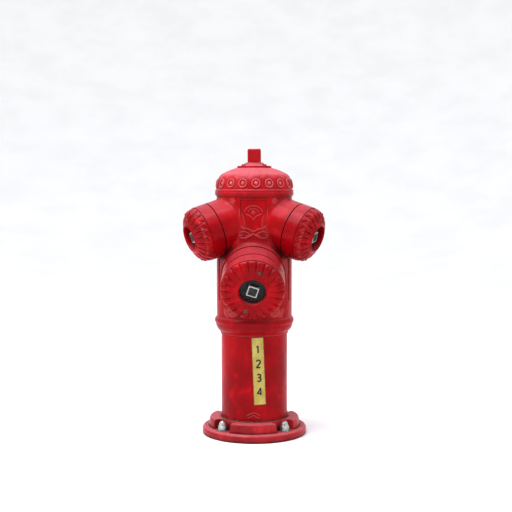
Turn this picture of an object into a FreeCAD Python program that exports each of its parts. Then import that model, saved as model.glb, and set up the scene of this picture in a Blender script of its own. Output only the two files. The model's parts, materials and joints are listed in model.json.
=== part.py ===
import FreeCAD, Part
import math
import os

# Pillar fire hydrant with one large front outlet and two smaller side outlets, all aimed
# downwards. Millimetres, +Z up, origin on the column's axis at the underside of the base.
# The front outlet points along -Y. The valve is at the foot and a square nut on top lifts it.

# ---- driving sizes -------------------------------------------------------------------

# the two overall sizes: everything round or above them follows
BARREL_R = 81.0
BARREL_TOP = 276.0

# common clearances
SLIP = 0.3
THREAD_GAP = 0.4
RUNNING_GAP = 0.3
HOLE_GAP = 0.2
GROOVE_GAP = 0.6
STUD_END_GAP = 0.5
CUT_PAST = 1.0
ROUND_MID = 1 - math.cos(math.pi / 4)

# base
PLATE_R = BARREL_R + 47.0
PLATE_TOP = 19.0
PLATE_EDGE_ROUND = 7.0
PLATE_CHAMFER = 2.0
PLATE_FLOOR = 12.0
RECESS_R = BARREL_R + 39.0
INLET_R = 50.0
SEAT_LEDGE_Z = 6.0
FLANGE_GASKET = 1.5
GASKET_INSET = 2.0
RING_R = BARREL_R + 31.0
RING_TOP = 41.0
RING_ROUND = 5.0
FOOT_BORE_R = BARREL_R - 23.0
SOCKET_FLOOR_Z = 24.0
GROUND_BOLTS = 8
GROUND_BOLT_CIRCLE_R = BARREL_R + 9.0
GROUND_BOLT_R = 7.0

# studs and cap nuts of the base
NUT_COUNT = 4
NUT_FIRST = 45.0
NUT_CIRCLE_R = BARREL_R + 25.0
STUD_R = 6.0
STUD_HOLE_R = STUD_R + 1.0
STUD_FOOT_Z = 2.5
STUD_TOP_Z = 36.0
NUT_ACROSS_FLATS = 19.0
NUT_HEX_TALL = 12.0
NUT_TALL = 22.0
NUT_SHOULDER = 0.5
WASHER_R = 12.0
WASHER_THICK = 2.5
POCKET_HALF_WIDTH = 29.0
POCKET_INNER_R = BARREL_R + 7.0

# lower barrel and the joints at its ends
BARREL_WALL = 8.0
SEAL_R = 1.6
FOOT_SEAL_Z = 33.0
HEAD_SEAL_Z = BARREL_TOP - 14.0

# head: the collar's steps are (out from the barrel, up from the collar's foot)
COLLAR_FOOT_Z = BARREL_TOP - 28.0
COLLAR_STEPS = ((2.0, 0.0), (3.5, 6.0), (10.0, 13.0), (13.6, 25.0), (16.0, 33.5))
HEAD_R = BARREL_R + 11.0
HEAD_FOOT_Z = BARREL_TOP + 14.0
HEAD_TOP = BARREL_TOP + 307.0
HEAD_BORE_R = HEAD_R - 10.0
HEAD_LEDGE = 4.0
HEAD_TAPER = 10.0
GUIDE_THICK = 8.0
GUIDE_RIM = 12.0
GUIDE_SPOKE = 10.0
CAP_RELIEF = 1.5

# bonnet: the tables are (out from the dome's radius, up from the head's top)
DOME_R = HEAD_R + 2.0
BONNET_TOP = HEAD_TOP + 69.0
BONNET_BAND = ((0.0, 0.0), (0.0, 2.5), (2.3, 4.5), (2.3, 11.5), (0.0, 14.0), (0.0, 17.0))
BONNET_CURVE = ((-6.2, 44.5), (-19.0, 56.5), (-34.0, 63.5))
BONNET_INSIDE = ((-32.0, 47.0), (-16.0, 36.0), (-11.0, 18.0))
BONNET_SPIGOT_R = HEAD_BORE_R - 0.4
BONNET_SPIGOT_WALL = 9.0
BONNET_WALL_FOOT = 8.0
BONNET_SEAL_R = 1.5
SPIGOT_DEEP = 18.0
BONNET_SEAL_Z = HEAD_TOP - SPIGOT_DEEP + 4.0
BOSS_WALL = 11.0
BOSS_RISE = 49.0
CHAMBER_FLOOR = HEAD_TOP + 33.0
BEARING_FOOT = HEAD_TOP + 23.0
THRUST_THICK = 2.5
LOCK_SCREW_R = 3.0
LOCK_SCREW_Z = HEAD_TOP - 6.0
LOCK_GROOVE_DEEP = 2.4
LOCK_SCREW_SUNK = 1.0

# operating nut and gland
NUT_SQUARE = 32.0
NUT_TOP = BONNET_TOP + 46.0
NUT_CORNER = 0.69
NUT_CHAMFER_TALL = 6.0
NUT_BORE_SPARE = 3.0
SLEEVE_R = 20.0
SLEEVE_FOOT = HEAD_TOP + 15.0
SLEEVE_SLIP = 0.4
CHAMBER_R = SLEEVE_R + 10.0
COLLAR_TALL = 10.2
GLAND_R = CHAMBER_R + 12.0
GLAND_THICK = 5.0
GLAND_CHAMFER = 1.5
GLAND_NECK_R = SLEEVE_R + 2.5
GLAND_NECK_TOP = BONNET_TOP + 12.0
GLAND_SCREWS = 4
GLAND_SCREW_FIRST = 45.0
GLAND_SCREW_CIRCLE_R = CHAMBER_R + 6.0
GLAND_SCREW_R = 3.0
GLAND_SCREW_DEEP = 14.0
GLAND_HEAD_R = 4.6
GLAND_HEAD_TALL = 3.0
GLAND_SOCKET = 4.0
GLAND_SOCKET_DEEP = 2.0
NUT_SEAL_R = 1.3
NUT_SEAL_RISES = (6.0, 14.0)

# valve and stem
STEM_R = 11.0
STEM_THREAD_R = 12.0
STEM_THREAD_SPARE = 3.0
STEM_SQUARE = 22.0
STEM_SQUARE_SPARE = 8.0
STEM_FOOT = 7.2
STEM_TOP = HEAD_TOP + 42.0
STEM_END_R = 10.0
STEM_COLLAR_R = 15.0
STEM_COLLAR_TALL = 6.0
GUIDE_HUB_R = STEM_SQUARE + 3.0
VALVE_LIFT = 35.0
SEAT_BORE_R = 46.0
SEAT_TOP = 20.0
SEAT_OUTER_R = 54.4
SEAT_FACE = 5.0
SEAT_BEVEL = 2.0
DISC_R = 52.0
DISC_THICK = 10.0
BACK_PLATE_THICK = 6.0
BACK_PLATE_R = 50.0
FRONT_PLATE_R = 43.0
VALVE_NUT_TALL = 7.0
VALVE_NUT_FLATS = 30.0

# number plate on the barrel
LABEL_WIDTH = 30.0
LABEL_LONG = 164.0
LABEL_MID_X = 12.5
LABEL_MID_Z = BARREL_TOP - 111.0
LABEL_LEAN = 2.3
LABEL_THICK = 1.4
LABEL_GLUE = 0.1

# shield panel cast on the front of the head
SHIELD_HALF_WIDTH = 34.5
SHIELD_TOP = HEAD_TOP - 5.0
SHIELD_SHOULDER = HEAD_TOP - 70.0
SHIELD_POINT = HEAD_TOP - 83.0
SHIELD_KNEE = 0.55
SHIELD_RIM = 3.0
SHIELD_RAISE = 1.6

# the caps' common sizes
CAP_SQUARE = 26.0
CAP_SQUARE_TALL = 10.0
CAP_SCREW_R = 3.0
CAP_SCREW_BLIND = 2.0
COVER_WALL = 7.0
COVER_CHAMFER = 1.5
CROWN_DROP = 2.0
LIP_BEVEL = 2.0
HOLE_BEVEL = 3.0
DOME_FULL = 0.21
FLUTES = 22
FLUTE_DEEP = 2.4
FLUTE_SPREAD = 1.1
NOZZLE_SEAL = 2.0
NOZZLE_BEVEL = 1.5
SEAL_INSET = 1.0
SEAL_PLAY = 0.05

# Each outlet: lengths run along its own axis from the point where it crosses the column's
# axis; radii follow the outlet's bore and lengths follow the head's radius.
FRONT_BORE_R = 50.0
SIDE_BORE_R = 32.5
FRONT = dict(
    name="front", azimuth=0.0, tilt=20.0, height=HEAD_TOP - 157.5,
    neck_r=FRONT_BORE_R + 25.0, neck_from=40.0, neck_end=HEAD_R + 38.0,
    bead_r=FRONT_BORE_R + 27.0, bead_from=HEAD_R - 8.0, bead_to=HEAD_R - 2.0,
    water_r=FRONT_BORE_R + 2.0, bore_r=FRONT_BORE_R, nozzle_r=FRONT_BORE_R + 8.0,
    nozzle_from=HEAD_R + 18.0, nozzle_to=HEAD_R + 66.0,
    seal=4.0, skirt_from=HEAD_R + 43.0, skirt_r=FRONT_BORE_R + 17.0, plate=8.0,
    cover_from=HEAD_R + 40.0, cover_r=FRONT_BORE_R + 25.0, face_r=FRONT_BORE_R + 13.0,
    shoulder=HEAD_R + 76.0, face=HEAD_R + 92.0, hole_r=31.0, lip_r=36.0, square_turn=-18.0,
    screw_at=51.0, screw_head_r=5.2, screw_turn=-20.0, screw_sunk=3.0,
)
SIDE = dict(
    tilt=18.0, height=HEAD_TOP - 46.0,
    neck_r=SIDE_BORE_R + 34.0, neck_from=60.0, neck_end=HEAD_R + 20.0,
    bead_r=0.0,
    water_r=SIDE_BORE_R + 2.0, bore_r=SIDE_BORE_R, nozzle_r=SIDE_BORE_R + 7.5,
    nozzle_from=HEAD_R + 8.0, nozzle_to=HEAD_R + 58.0,
    seal=3.0, skirt_from=HEAD_R + 36.0, skirt_r=SIDE_BORE_R + 17.5, plate=7.0,
    cover_from=HEAD_R + 21.5, cover_r=SIDE_BORE_R + 34.0, face_r=SIDE_BORE_R + 7.5,
    shoulder=HEAD_R + 52.0, face=HEAD_R + 86.0, hole_r=30.0, lip_r=34.0, square_turn=12.0,
    screw_at=44.0, screw_head_r=4.6, screw_turn=0.0, screw_sunk=8.0,
)
SIDE_AZIMUTH = 65.0
RIGHT = dict(SIDE, name="right", azimuth=SIDE_AZIMUTH)
LEFT = dict(SIDE, name="left", azimuth=-SIDE_AZIMUTH)
OUTLETS = (FRONT, LEFT, RIGHT)

# levels that follow from the sizes above
GASKET_TOP = PLATE_FLOOR + FLANGE_GASKET
WASHER_TOP = PLATE_TOP + WASHER_THICK
DISC_FOOT = SEAT_TOP + RUNNING_GAP
DISC_TOP = DISC_FOOT + DISC_THICK
BACK_PLATE_TOP = DISC_TOP + BACK_PLATE_THICK
FRONT_PLATE_FOOT = DISC_FOOT - BACK_PLATE_THICK
SPINDLE_HOLE_R = STEM_END_R + HOLE_GAP
GUIDE_FOOT = BARREL_TOP
GUIDE_TOP = GUIDE_FOOT + GUIDE_THICK
STEM_COLLAR_TOP = BACK_PLATE_TOP + STEM_COLLAR_TALL
SEAL_GROOVE_R = BARREL_R + SLIP + 2 * SEAL_R + HOLE_GAP
LOWER_WASHER_TOP = CHAMBER_FLOOR + THRUST_THICK
NUT_COLLAR_FOOT = LOWER_WASHER_TOP + RUNNING_GAP
NUT_COLLAR_TOP = NUT_COLLAR_FOOT + COLLAR_TALL
UPPER_WASHER_FOOT = NUT_COLLAR_TOP + RUNNING_GAP
GLAND_FOOT = UPPER_WASHER_FOOT + THRUST_THICK
GLAND_TOP = BONNET_TOP + GLAND_THICK
SQUARE_FOOT = GLAND_NECK_TOP + RUNNING_GAP
NUT_SEAL_LEVELS = tuple(GLAND_FOOT + rise for rise in NUT_SEAL_RISES)

ORIGIN = FreeCAD.Vector(0, 0, 0)
UP = FreeCAD.Vector(0, 0, 1)

os.makedirs("parts", exist_ok=True)


# ---- helpers -------------------------------------------------------------------------


def save(name, shape):
    """Write one sub-part and print its volume."""
    shape.exportStep("parts/" + name + ".step")
    print(name, len(shape.Solids), "solid(s)", round(shape.Volume / 1000.0, 2), "cm3")


def flat(point):
    """A point (r, z) in the X-Z half plane."""
    return FreeCAD.Vector(point[0], 0, point[1])


def outline(start, *steps):
    """A face bounded by lines to (r, z) points, and by arcs where a step is (through, end)."""
    edges = []
    here = start
    for step in steps + (start,):
        if isinstance(step[0], tuple):
            through, there = step
            edges.append(Part.Arc(flat(here), flat(through), flat(there)).toShape())
        else:
            there = step
            edges.append(Part.makeLine(flat(here), flat(there)))
        here = there
    return Part.Face(Part.Wire(edges))


def lathe(start, *steps):
    """The outline turned all the way round the Z axis."""
    return outline(start, *steps).revolve(ORIGIN, UP, 360)


def disc(r, low, high):
    """A cylinder on the Z axis from one level to another."""
    return Part.makeCylinder(r, high - low, FreeCAD.Vector(0, 0, low), UP)


def ring(outer, inner, low, high):
    """A tube on the Z axis."""
    return disc(outer, low, high).cut(disc(inner, low - CUT_PAST, high + CUT_PAST))


def o_ring(r, z, thick):
    """A round-section ring on the Z axis."""
    return Part.makeTorus(r, thick, FreeCAD.Vector(0, 0, z), UP)


def prism(sides, across_flats, low, high):
    """A regular prism on the Z axis."""
    corner = across_flats / 2 / math.cos(math.pi / sides)
    points = [
        FreeCAD.Vector(
            corner * math.cos(2 * math.pi * (k + 0.5) / sides),
            corner * math.sin(2 * math.pi * (k + 0.5) / sides),
            low,
        )
        for k in range(sides)
    ]
    return Part.Face(Part.makePolygon(points + points[:1])).extrude(UP * (high - low))


def polar(shape, r, count, first=0.0):
    """Copies of a shape moved out by r and repeated round the Z axis."""
    copies = []
    for k in range(count):
        copy = shape.copy()
        copy.translate(FreeCAD.Vector(r, 0, 0))
        copy.rotate(ORIGIN, UP, first + 360.0 * k / count)
        copies.append(copy)
    return copies


def aimed(shape, outlet):
    """Move a shape made on the Z axis onto an outlet's axis, its +Y pointing up."""
    turn = math.radians(outlet["azimuth"])
    tilt = math.radians(outlet["tilt"])
    out = FreeCAD.Vector(
        math.sin(turn) * math.cos(tilt), -math.cos(turn) * math.cos(tilt), -math.sin(tilt)
    )
    right = FreeCAD.Vector(math.cos(turn), math.sin(turn), 0)
    moved = shape.copy()
    moved.Placement = FreeCAD.Placement(
        FreeCAD.Vector(0, 0, outlet["height"]),
        FreeCAD.Rotation(right, out.cross(right), out, "ZXY"),
    )
    return moved


# ---- base ----------------------------------------------------------------------------


def base_plate():
    """Round ground flange: a rim round a recess, a seat ledge and tapped holes below."""
    body = lathe(
        (SEAT_OUTER_R + HOLE_GAP, SEAT_LEDGE_Z),
        (INLET_R, SEAT_LEDGE_Z),
        (INLET_R, 0),
        (PLATE_R - PLATE_CHAMFER, 0),
        (PLATE_R, PLATE_CHAMFER),
        (PLATE_R, PLATE_TOP - PLATE_EDGE_ROUND),
        (
            (PLATE_R - ROUND_MID * PLATE_EDGE_ROUND, PLATE_TOP - ROUND_MID * PLATE_EDGE_ROUND),
            (PLATE_R - PLATE_EDGE_ROUND, PLATE_TOP),
        ),
        (RECESS_R, PLATE_TOP),
        (RECESS_R, PLATE_FLOOR),
        (SEAT_OUTER_R + HOLE_GAP, PLATE_FLOOR),
    )
    below = disc(GROUND_BOLT_R, -CUT_PAST, PLATE_FLOOR + CUT_PAST)
    step = 360.0 / GROUND_BOLTS
    holes = polar(below, GROUND_BOLT_CIRCLE_R, GROUND_BOLTS, step / 2)
    stud_seat = disc(STUD_R + HOLE_GAP, STUD_FOOT_Z - HOLE_GAP, PLATE_FLOOR + CUT_PAST)
    holes += polar(stud_seat, NUT_CIRCLE_R, NUT_COUNT, NUT_FIRST)
    return body.cut(holes)


def base_gasket():
    """Full-face sheet gasket under the foot, with the studs passing through it."""
    sheet = ring(RECESS_R - GASKET_INSET, FOOT_BORE_R, PLATE_FLOOR, GASKET_TOP)
    holes = polar(disc(STUD_HOLE_R, 0, PLATE_TOP), NUT_CIRCLE_R, NUT_COUNT, NUT_FIRST)
    return sheet.cut(holes)


def seal_groove(level):
    """Ring-shaped cut for a seal between the barrel and the socket round it."""
    half = SEAL_R + GROOVE_GAP
    return ring(SEAL_GROOVE_R, BARREL_R - CUT_PAST, level - half, level + half)


def barrel_foot():
    """Flange and raised ring that carry the barrel, pocketed round the four cap nuts."""
    body = lathe(
        (FOOT_BORE_R, GASKET_TOP),
        (RECESS_R - SLIP, GASKET_TOP),
        (RECESS_R - SLIP, PLATE_TOP),
        (RING_R, PLATE_TOP),
        (RING_R, RING_TOP - RING_ROUND),
        (
            (RING_R - ROUND_MID * RING_ROUND, RING_TOP - ROUND_MID * RING_ROUND),
            (RING_R - RING_ROUND, RING_TOP),
        ),
        (BARREL_R + SLIP, RING_TOP),
        (BARREL_R + SLIP, SOCKET_FLOOR_Z),
        (FOOT_BORE_R, SOCKET_FLOOR_Z),
    )
    pocket = Part.makeBox(
        RING_R,
        2 * POCKET_HALF_WIDTH,
        RING_TOP,
        FreeCAD.Vector(0, -POCKET_HALF_WIDTH, PLATE_TOP),
    )
    pocket.translate(FreeCAD.Vector(POCKET_INNER_R, 0, 0))
    cuts = polar(pocket, 0, NUT_COUNT, NUT_FIRST)
    stud_hole = disc(STUD_HOLE_R, 0, PLATE_TOP + CUT_PAST)
    cuts += polar(stud_hole, NUT_CIRCLE_R, NUT_COUNT, NUT_FIRST)
    cuts.append(seal_groove(FOOT_SEAL_Z))
    return body.cut(cuts)


def cap_nut():
    """Domed cap nut: hexagon, collar and dome, with a blind bore."""
    dome_r = NUT_ACROSS_FLATS / 2 - NUT_SHOULDER
    hex_top = WASHER_TOP + NUT_HEX_TALL
    top = WASHER_TOP + NUT_TALL
    side = top - dome_r
    body = prism(6, NUT_ACROSS_FLATS, WASHER_TOP, hex_top)
    dome = lathe(
        (0, WASHER_TOP + CUT_PAST),
        (dome_r, WASHER_TOP + CUT_PAST),
        (dome_r, side),
        ((dome_r - ROUND_MID * dome_r, top - ROUND_MID * dome_r), (0, top)),
    )
    bore = disc(STUD_R + HOLE_GAP, WASHER_TOP - CUT_PAST, STUD_TOP_Z + STUD_END_GAP)
    return body.fuse(dome).cut(bore)


def base_fixings():
    """Studs, washers and cap nuts, each kind as one group."""
    fixings = {
        "base_studs": disc(STUD_R, STUD_FOOT_Z, STUD_TOP_Z),
        "base_washers": ring(WASHER_R, STUD_R + HOLE_GAP, PLATE_TOP, WASHER_TOP),
        "base_cap_nuts": cap_nut(),
    }
    for name, shape in fixings.items():
        save(name, Part.makeCompound(polar(shape, NUT_CIRCLE_R, NUT_COUNT, NUT_FIRST)))


# ---- valve at the foot ---------------------------------------------------------------


def seat_ring():
    """Bronze ring with a narrow raised seat, standing in the base plate's ledge."""
    return lathe(
        (SEAT_BORE_R, SEAT_LEDGE_Z),
        (SEAT_OUTER_R, SEAT_LEDGE_Z),
        (SEAT_OUTER_R, SEAT_TOP - SEAT_BEVEL),
        (SEAT_BORE_R + SEAT_FACE, SEAT_TOP),
        (SEAT_BORE_R, SEAT_TOP),
    )


def valve_nut():
    """Hexagon nut that clamps the two plates and the rubber disc on the stem's end."""
    nut = prism(6, VALVE_NUT_FLATS, FRONT_PLATE_FOOT - VALVE_NUT_TALL, FRONT_PLATE_FOOT)
    return nut.cut(disc(SPINDLE_HOLE_R, 0, FRONT_PLATE_FOOT + CUT_PAST))


def stem():
    """Valve rod: spindle end, round rod, square stretch in the guide, threaded top."""
    square_from = GUIDE_FOOT - VALVE_LIFT - STEM_SQUARE_SPARE
    square_to = GUIDE_TOP + STEM_SQUARE_SPARE
    thread_from = SLEEVE_FOOT - VALVE_LIFT - STEM_THREAD_SPARE
    rod = disc(STEM_END_R, STEM_FOOT, STEM_COLLAR_TOP)
    return rod.fuse(
        [
            disc(STEM_COLLAR_R, BACK_PLATE_TOP, STEM_COLLAR_TOP),
            disc(STEM_R, BACK_PLATE_TOP, STEM_TOP),
            prism(4, STEM_SQUARE, square_from, square_to),
            disc(STEM_THREAD_R, thread_from, STEM_TOP),
        ]
    )


def stem_guide():
    """Spoked ring clamped between barrel and head; its square hole stops the stem turning."""
    body = ring(BARREL_R, BARREL_R - GUIDE_RIM, GUIDE_FOOT, GUIDE_TOP)
    reach = BARREL_R - BARREL_WALL
    corner = FreeCAD.Vector(-reach, -GUIDE_SPOKE / 2, GUIDE_FOOT)
    spoke = Part.makeBox(2 * reach, GUIDE_SPOKE, GUIDE_THICK, corner)
    other = spoke.copy()
    other.rotate(ORIGIN, UP, 90)
    hub = disc(GUIDE_HUB_R, GUIDE_FOOT, GUIDE_TOP)
    across = STEM_SQUARE + 2 * RUNNING_GAP
    hole = prism(4, across, GUIDE_FOOT - CUT_PAST, GUIDE_TOP + CUT_PAST)
    return body.fuse([spoke, other, hub]).cut(hole)


# ---- head ----------------------------------------------------------------------------


def shield_relief():
    """Raised rim of a shield-shaped panel, wrapped on the front of the head."""

    def plate(inset):
        half = SHIELD_HALF_WIDTH - inset
        knee = half * SHIELD_KNEE
        knee_z = (SHIELD_SHOULDER + SHIELD_POINT) / 2 + inset
        corners = (
            (-half, SHIELD_TOP - inset),
            (half, SHIELD_TOP - inset),
            (half, SHIELD_SHOULDER + inset),
            (knee, knee_z),
            (0, SHIELD_POINT + inset),
            (-knee, knee_z),
            (-half, SHIELD_SHOULDER + inset),
        )
        points = [flat(corner) for corner in corners]
        face = Part.Face(Part.makePolygon(points + points[:1]))
        return face.extrude(FreeCAD.Vector(0, -2 * HEAD_R, 0))

    skin = ring(
        HEAD_R + SHIELD_RAISE, HEAD_R - CUT_PAST, SHIELD_POINT - CUT_PAST, SHIELD_TOP + CUT_PAST
    )
    return skin.common(plate(0.0).cut(plate(SHIELD_RIM)))


def head():
    """Upper casting: collar over the barrel, straight body and three outlet necks."""
    collar = [(BARREL_R + out, COLLAR_FOOT_Z + up) for out, up in COLLAR_STEPS]
    body = lathe(
        (0, COLLAR_FOOT_Z),
        collar[0],
        collar[1],
        (collar[2], collar[3]),
        (collar[4], (HEAD_R, HEAD_FOOT_Z)),
        (HEAD_R, HEAD_TOP),
        (0, HEAD_TOP),
    )
    for outlet in OUTLETS:
        beyond = outlet["neck_end"] + HEAD_R
        relief = disc(outlet["cover_r"] + CAP_RELIEF, outlet["neck_end"], beyond)
        body = body.cut(aimed(relief, outlet))
    necks = [shield_relief()]
    for outlet in OUTLETS:
        neck = disc(outlet["neck_r"], outlet["neck_from"], outlet["neck_end"])
        necks.append(aimed(neck, outlet))
        if outlet["bead_r"]:
            bead = disc(outlet["bead_r"], outlet["bead_from"], outlet["bead_to"])
            necks.append(aimed(bead, outlet))
    body = body.fuse(necks)
    inside = lathe(
        (0, COLLAR_FOOT_Z - CUT_PAST),
        (BARREL_R + SLIP, COLLAR_FOOT_Z - CUT_PAST),
        (BARREL_R + SLIP, GUIDE_TOP),
        (BARREL_R - BARREL_WALL, GUIDE_TOP),
        (BARREL_R - BARREL_WALL, GUIDE_TOP + HEAD_LEDGE),
        (HEAD_BORE_R, GUIDE_TOP + HEAD_LEDGE + HEAD_TAPER),
        (HEAD_BORE_R, HEAD_TOP + CUT_PAST),
        (0, HEAD_TOP + CUT_PAST),
    )
    cuts = [
        inside,
        seal_groove(HEAD_SEAL_Z),
        lock_screw(LOCK_SCREW_R + HOLE_GAP, HEAD_BORE_R - CUT_PAST, HEAD_R + CUT_PAST),
    ]
    for outlet in OUTLETS:
        seal_from = outlet["nozzle_from"] - NOZZLE_SEAL
        past = outlet["neck_end"] + CUT_PAST
        cuts.append(aimed(disc(outlet["nozzle_r"] + HOLE_GAP, seal_from, past), outlet))
        cuts.append(aimed(disc(outlet["water_r"], 0, past), outlet))
    return body.cut(cuts)


# ---- bonnet, gland and operating nut -------------------------------------------------


def lock_screw(r, inner, outer):
    """Cylinder through the back of the head, from one radius to another."""
    return Part.makeCylinder(
        r, outer - inner, FreeCAD.Vector(0, inner, LOCK_SCREW_Z), FreeCAD.Vector(0, 1, 0)
    )


def groove_round(r, deep, level, half):
    """Ring-shaped cut of a depth into a round part of a radius."""
    return ring(r + CUT_PAST, r - deep, level - half, level + half)


def bonnet():
    """Domed top casting with a banded foot, a spigot into the head and a bearing boss."""
    boss_r = CHAMBER_R + BOSS_WALL
    inner_r = BONNET_SPIGOT_R - BONNET_SPIGOT_WALL
    band = [(DOME_R + out, HEAD_TOP + up) for out, up in BONNET_BAND]
    curve = [(DOME_R + out, HEAD_TOP + up) for out, up in BONNET_CURVE]
    inside = [(DOME_R + out, HEAD_TOP + up) for out, up in BONNET_INSIDE]
    body = lathe(
        (inner_r, HEAD_TOP - SPIGOT_DEEP),
        (BONNET_SPIGOT_R, HEAD_TOP - SPIGOT_DEEP),
        (BONNET_SPIGOT_R, HEAD_TOP),
        *band,
        (curve[0], curve[1]),
        (curve[2], (GLAND_R + CUT_PAST, BONNET_TOP)),
        (CHAMBER_R, BONNET_TOP),
        (CHAMBER_R, CHAMBER_FLOOR),
        (SLEEVE_R + SLEEVE_SLIP, CHAMBER_FLOOR),
        (SLEEVE_R + SLEEVE_SLIP, BEARING_FOOT),
        (boss_r, BEARING_FOOT),
        (boss_r, HEAD_TOP + BOSS_RISE),
        inside[0],
        (inside[1], inside[2]),
        (inner_r, HEAD_TOP + BONNET_WALL_FOOT),
    )
    tapped = disc(
        GLAND_SCREW_R + HOLE_GAP, BONNET_TOP - GLAND_SCREW_DEEP, BONNET_TOP + CUT_PAST
    )
    cuts = polar(tapped, GLAND_SCREW_CIRCLE_R, GLAND_SCREWS, GLAND_SCREW_FIRST)
    seal_half = BONNET_SEAL_R + GROOVE_GAP
    lock_half = LOCK_SCREW_R + GROOVE_GAP
    cuts.append(groove_round(BONNET_SPIGOT_R, 2 * BONNET_SEAL_R, BONNET_SEAL_Z, seal_half))
    cuts.append(groove_round(BONNET_SPIGOT_R, LOCK_GROOVE_DEEP, LOCK_SCREW_Z, lock_half))
    return body.cut(cuts)


def thrust_washer(foot):
    """Flat bronze washer beside the nut's collar."""
    return ring(CHAMBER_R - HOLE_GAP, SLEEVE_R + HOLE_GAP, foot, foot + THRUST_THICK)


def operating_nut():
    """Square-headed sleeve nut with a thrust collar and a blind threaded bore."""
    body = disc(SLEEVE_R, SLEEVE_FOOT, SQUARE_FOOT)
    collar = disc(CHAMBER_R - RUNNING_GAP, NUT_COLLAR_FOOT, NUT_COLLAR_TOP)
    square = prism(4, NUT_SQUARE, SQUARE_FOOT, NUT_TOP)
    corner_r = NUT_SQUARE * NUT_CORNER
    corners = lathe(
        (0, SQUARE_FOOT),
        (corner_r, SQUARE_FOOT),
        (corner_r, NUT_TOP - NUT_CHAMFER_TALL),
        (NUT_SQUARE / 2, NUT_TOP),
        (0, NUT_TOP),
    )
    body = body.fuse([collar, square.common(corners)])
    bore_top = STEM_TOP + VALVE_LIFT + NUT_BORE_SPARE
    cuts = [disc(STEM_THREAD_R + RUNNING_GAP, SLEEVE_FOOT - CUT_PAST, bore_top)]
    half = NUT_SEAL_R + RUNNING_GAP
    for level in NUT_SEAL_LEVELS:
        cuts.append(groove_round(SLEEVE_R, 2 * NUT_SEAL_R, level, half))
    return body.cut(cuts)


def gland_plate():
    """Plate, conical neck and spigot that hold the nut's collar down."""
    body = lathe(
        (SLEEVE_R + SLEEVE_SLIP, GLAND_FOOT),
        (CHAMBER_R - HOLE_GAP, GLAND_FOOT),
        (CHAMBER_R - HOLE_GAP, BONNET_TOP),
        (GLAND_R, BONNET_TOP),
        (GLAND_R, GLAND_TOP - GLAND_CHAMFER),
        (GLAND_R - GLAND_CHAMFER, GLAND_TOP),
        (CHAMBER_R, GLAND_TOP),
        (GLAND_NECK_R, GLAND_NECK_TOP),
        (SLEEVE_R + SLEEVE_SLIP, GLAND_NECK_TOP),
    )
    hole = disc(GLAND_SCREW_R + HOLE_GAP, BONNET_TOP - CUT_PAST, GLAND_TOP + CUT_PAST)
    return body.cut(polar(hole, GLAND_SCREW_CIRCLE_R, GLAND_SCREWS, GLAND_SCREW_FIRST))


def gland_screws():
    """Low round-headed screws with hexagon sockets."""
    head_top = GLAND_TOP + GLAND_HEAD_TALL
    screw = disc(GLAND_SCREW_R, BONNET_TOP - GLAND_SCREW_DEEP + CUT_PAST, GLAND_TOP + CUT_PAST)
    head_part = disc(GLAND_HEAD_R, GLAND_TOP, head_top)
    socket = prism(6, GLAND_SOCKET, head_top - GLAND_SOCKET_DEEP, head_top + CUT_PAST)
    screw = screw.fuse(head_part).cut(socket)
    screws = polar(screw, GLAND_SCREW_CIRCLE_R, GLAND_SCREWS, GLAND_SCREW_FIRST)
    return Part.makeCompound(screws)


# ---- number plate --------------------------------------------------------------------


def number_plate():
    """Thin curved plate on the front of the barrel, leaning slightly."""
    back_r = BARREL_R + LABEL_GLUE
    face_r = back_r + LABEL_THICK
    skin = ring(face_r, back_r, LABEL_MID_Z - LABEL_LONG, LABEL_MID_Z + LABEL_LONG)
    corner = FreeCAD.Vector(
        LABEL_MID_X - LABEL_WIDTH / 2, -face_r - CUT_PAST, LABEL_MID_Z - LABEL_LONG / 2
    )
    block = Part.makeBox(LABEL_WIDTH, face_r + CUT_PAST, LABEL_LONG, corner)
    middle = FreeCAD.Vector(LABEL_MID_X, 0, LABEL_MID_Z)
    block.rotate(middle, FreeCAD.Vector(0, 1, 0), -LABEL_LEAN)
    return skin.common(block)


# ---- outlets -------------------------------------------------------------------------


def nozzle(outlet):
    """Bronze outlet tube screwed into the neck, its bevelled end against the cap's seal."""
    start = outlet["nozzle_from"]
    end = outlet["nozzle_to"]
    body = lathe(
        (outlet["bore_r"], start),
        (outlet["nozzle_r"], start),
        (outlet["nozzle_r"], end - NOZZLE_BEVEL),
        (outlet["nozzle_r"] - NOZZLE_BEVEL, end),
        (outlet["bore_r"], end),
    )
    return aimed(body, outlet)


def nozzle_gasket(outlet):
    """Flat ring between the nozzle's inner end and the neck's shoulder."""
    start = outlet["nozzle_from"] - NOZZLE_SEAL
    outer = outlet["nozzle_r"]
    return aimed(ring(outer, outlet["water_r"], start, outlet["nozzle_from"]), outlet)


def cap_gasket(outlet):
    """Rubber ring in the cap that seals on the nozzle's end."""
    low = outlet["nozzle_to"]
    outer = outlet["nozzle_r"] - SEAL_INSET
    inner = outlet["bore_r"] + SEAL_INSET
    high = low + outlet["seal"] - SEAL_PLAY
    return aimed(ring(outer, inner, low, high), outlet)


def cap_screw_holes(outlet, r, low, high):
    """Two cylinders opposite each other on the cap's face."""
    hole = disc(r, low, high)
    return polar(hole, outlet["screw_at"], 2, 90 + outlet["screw_turn"])


def cap_levels(outlet):
    """Where the plug's plate starts and ends along the outlet's axis."""
    low = outlet["nozzle_to"] + outlet["seal"]
    return low, low + outlet["plate"]


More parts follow.
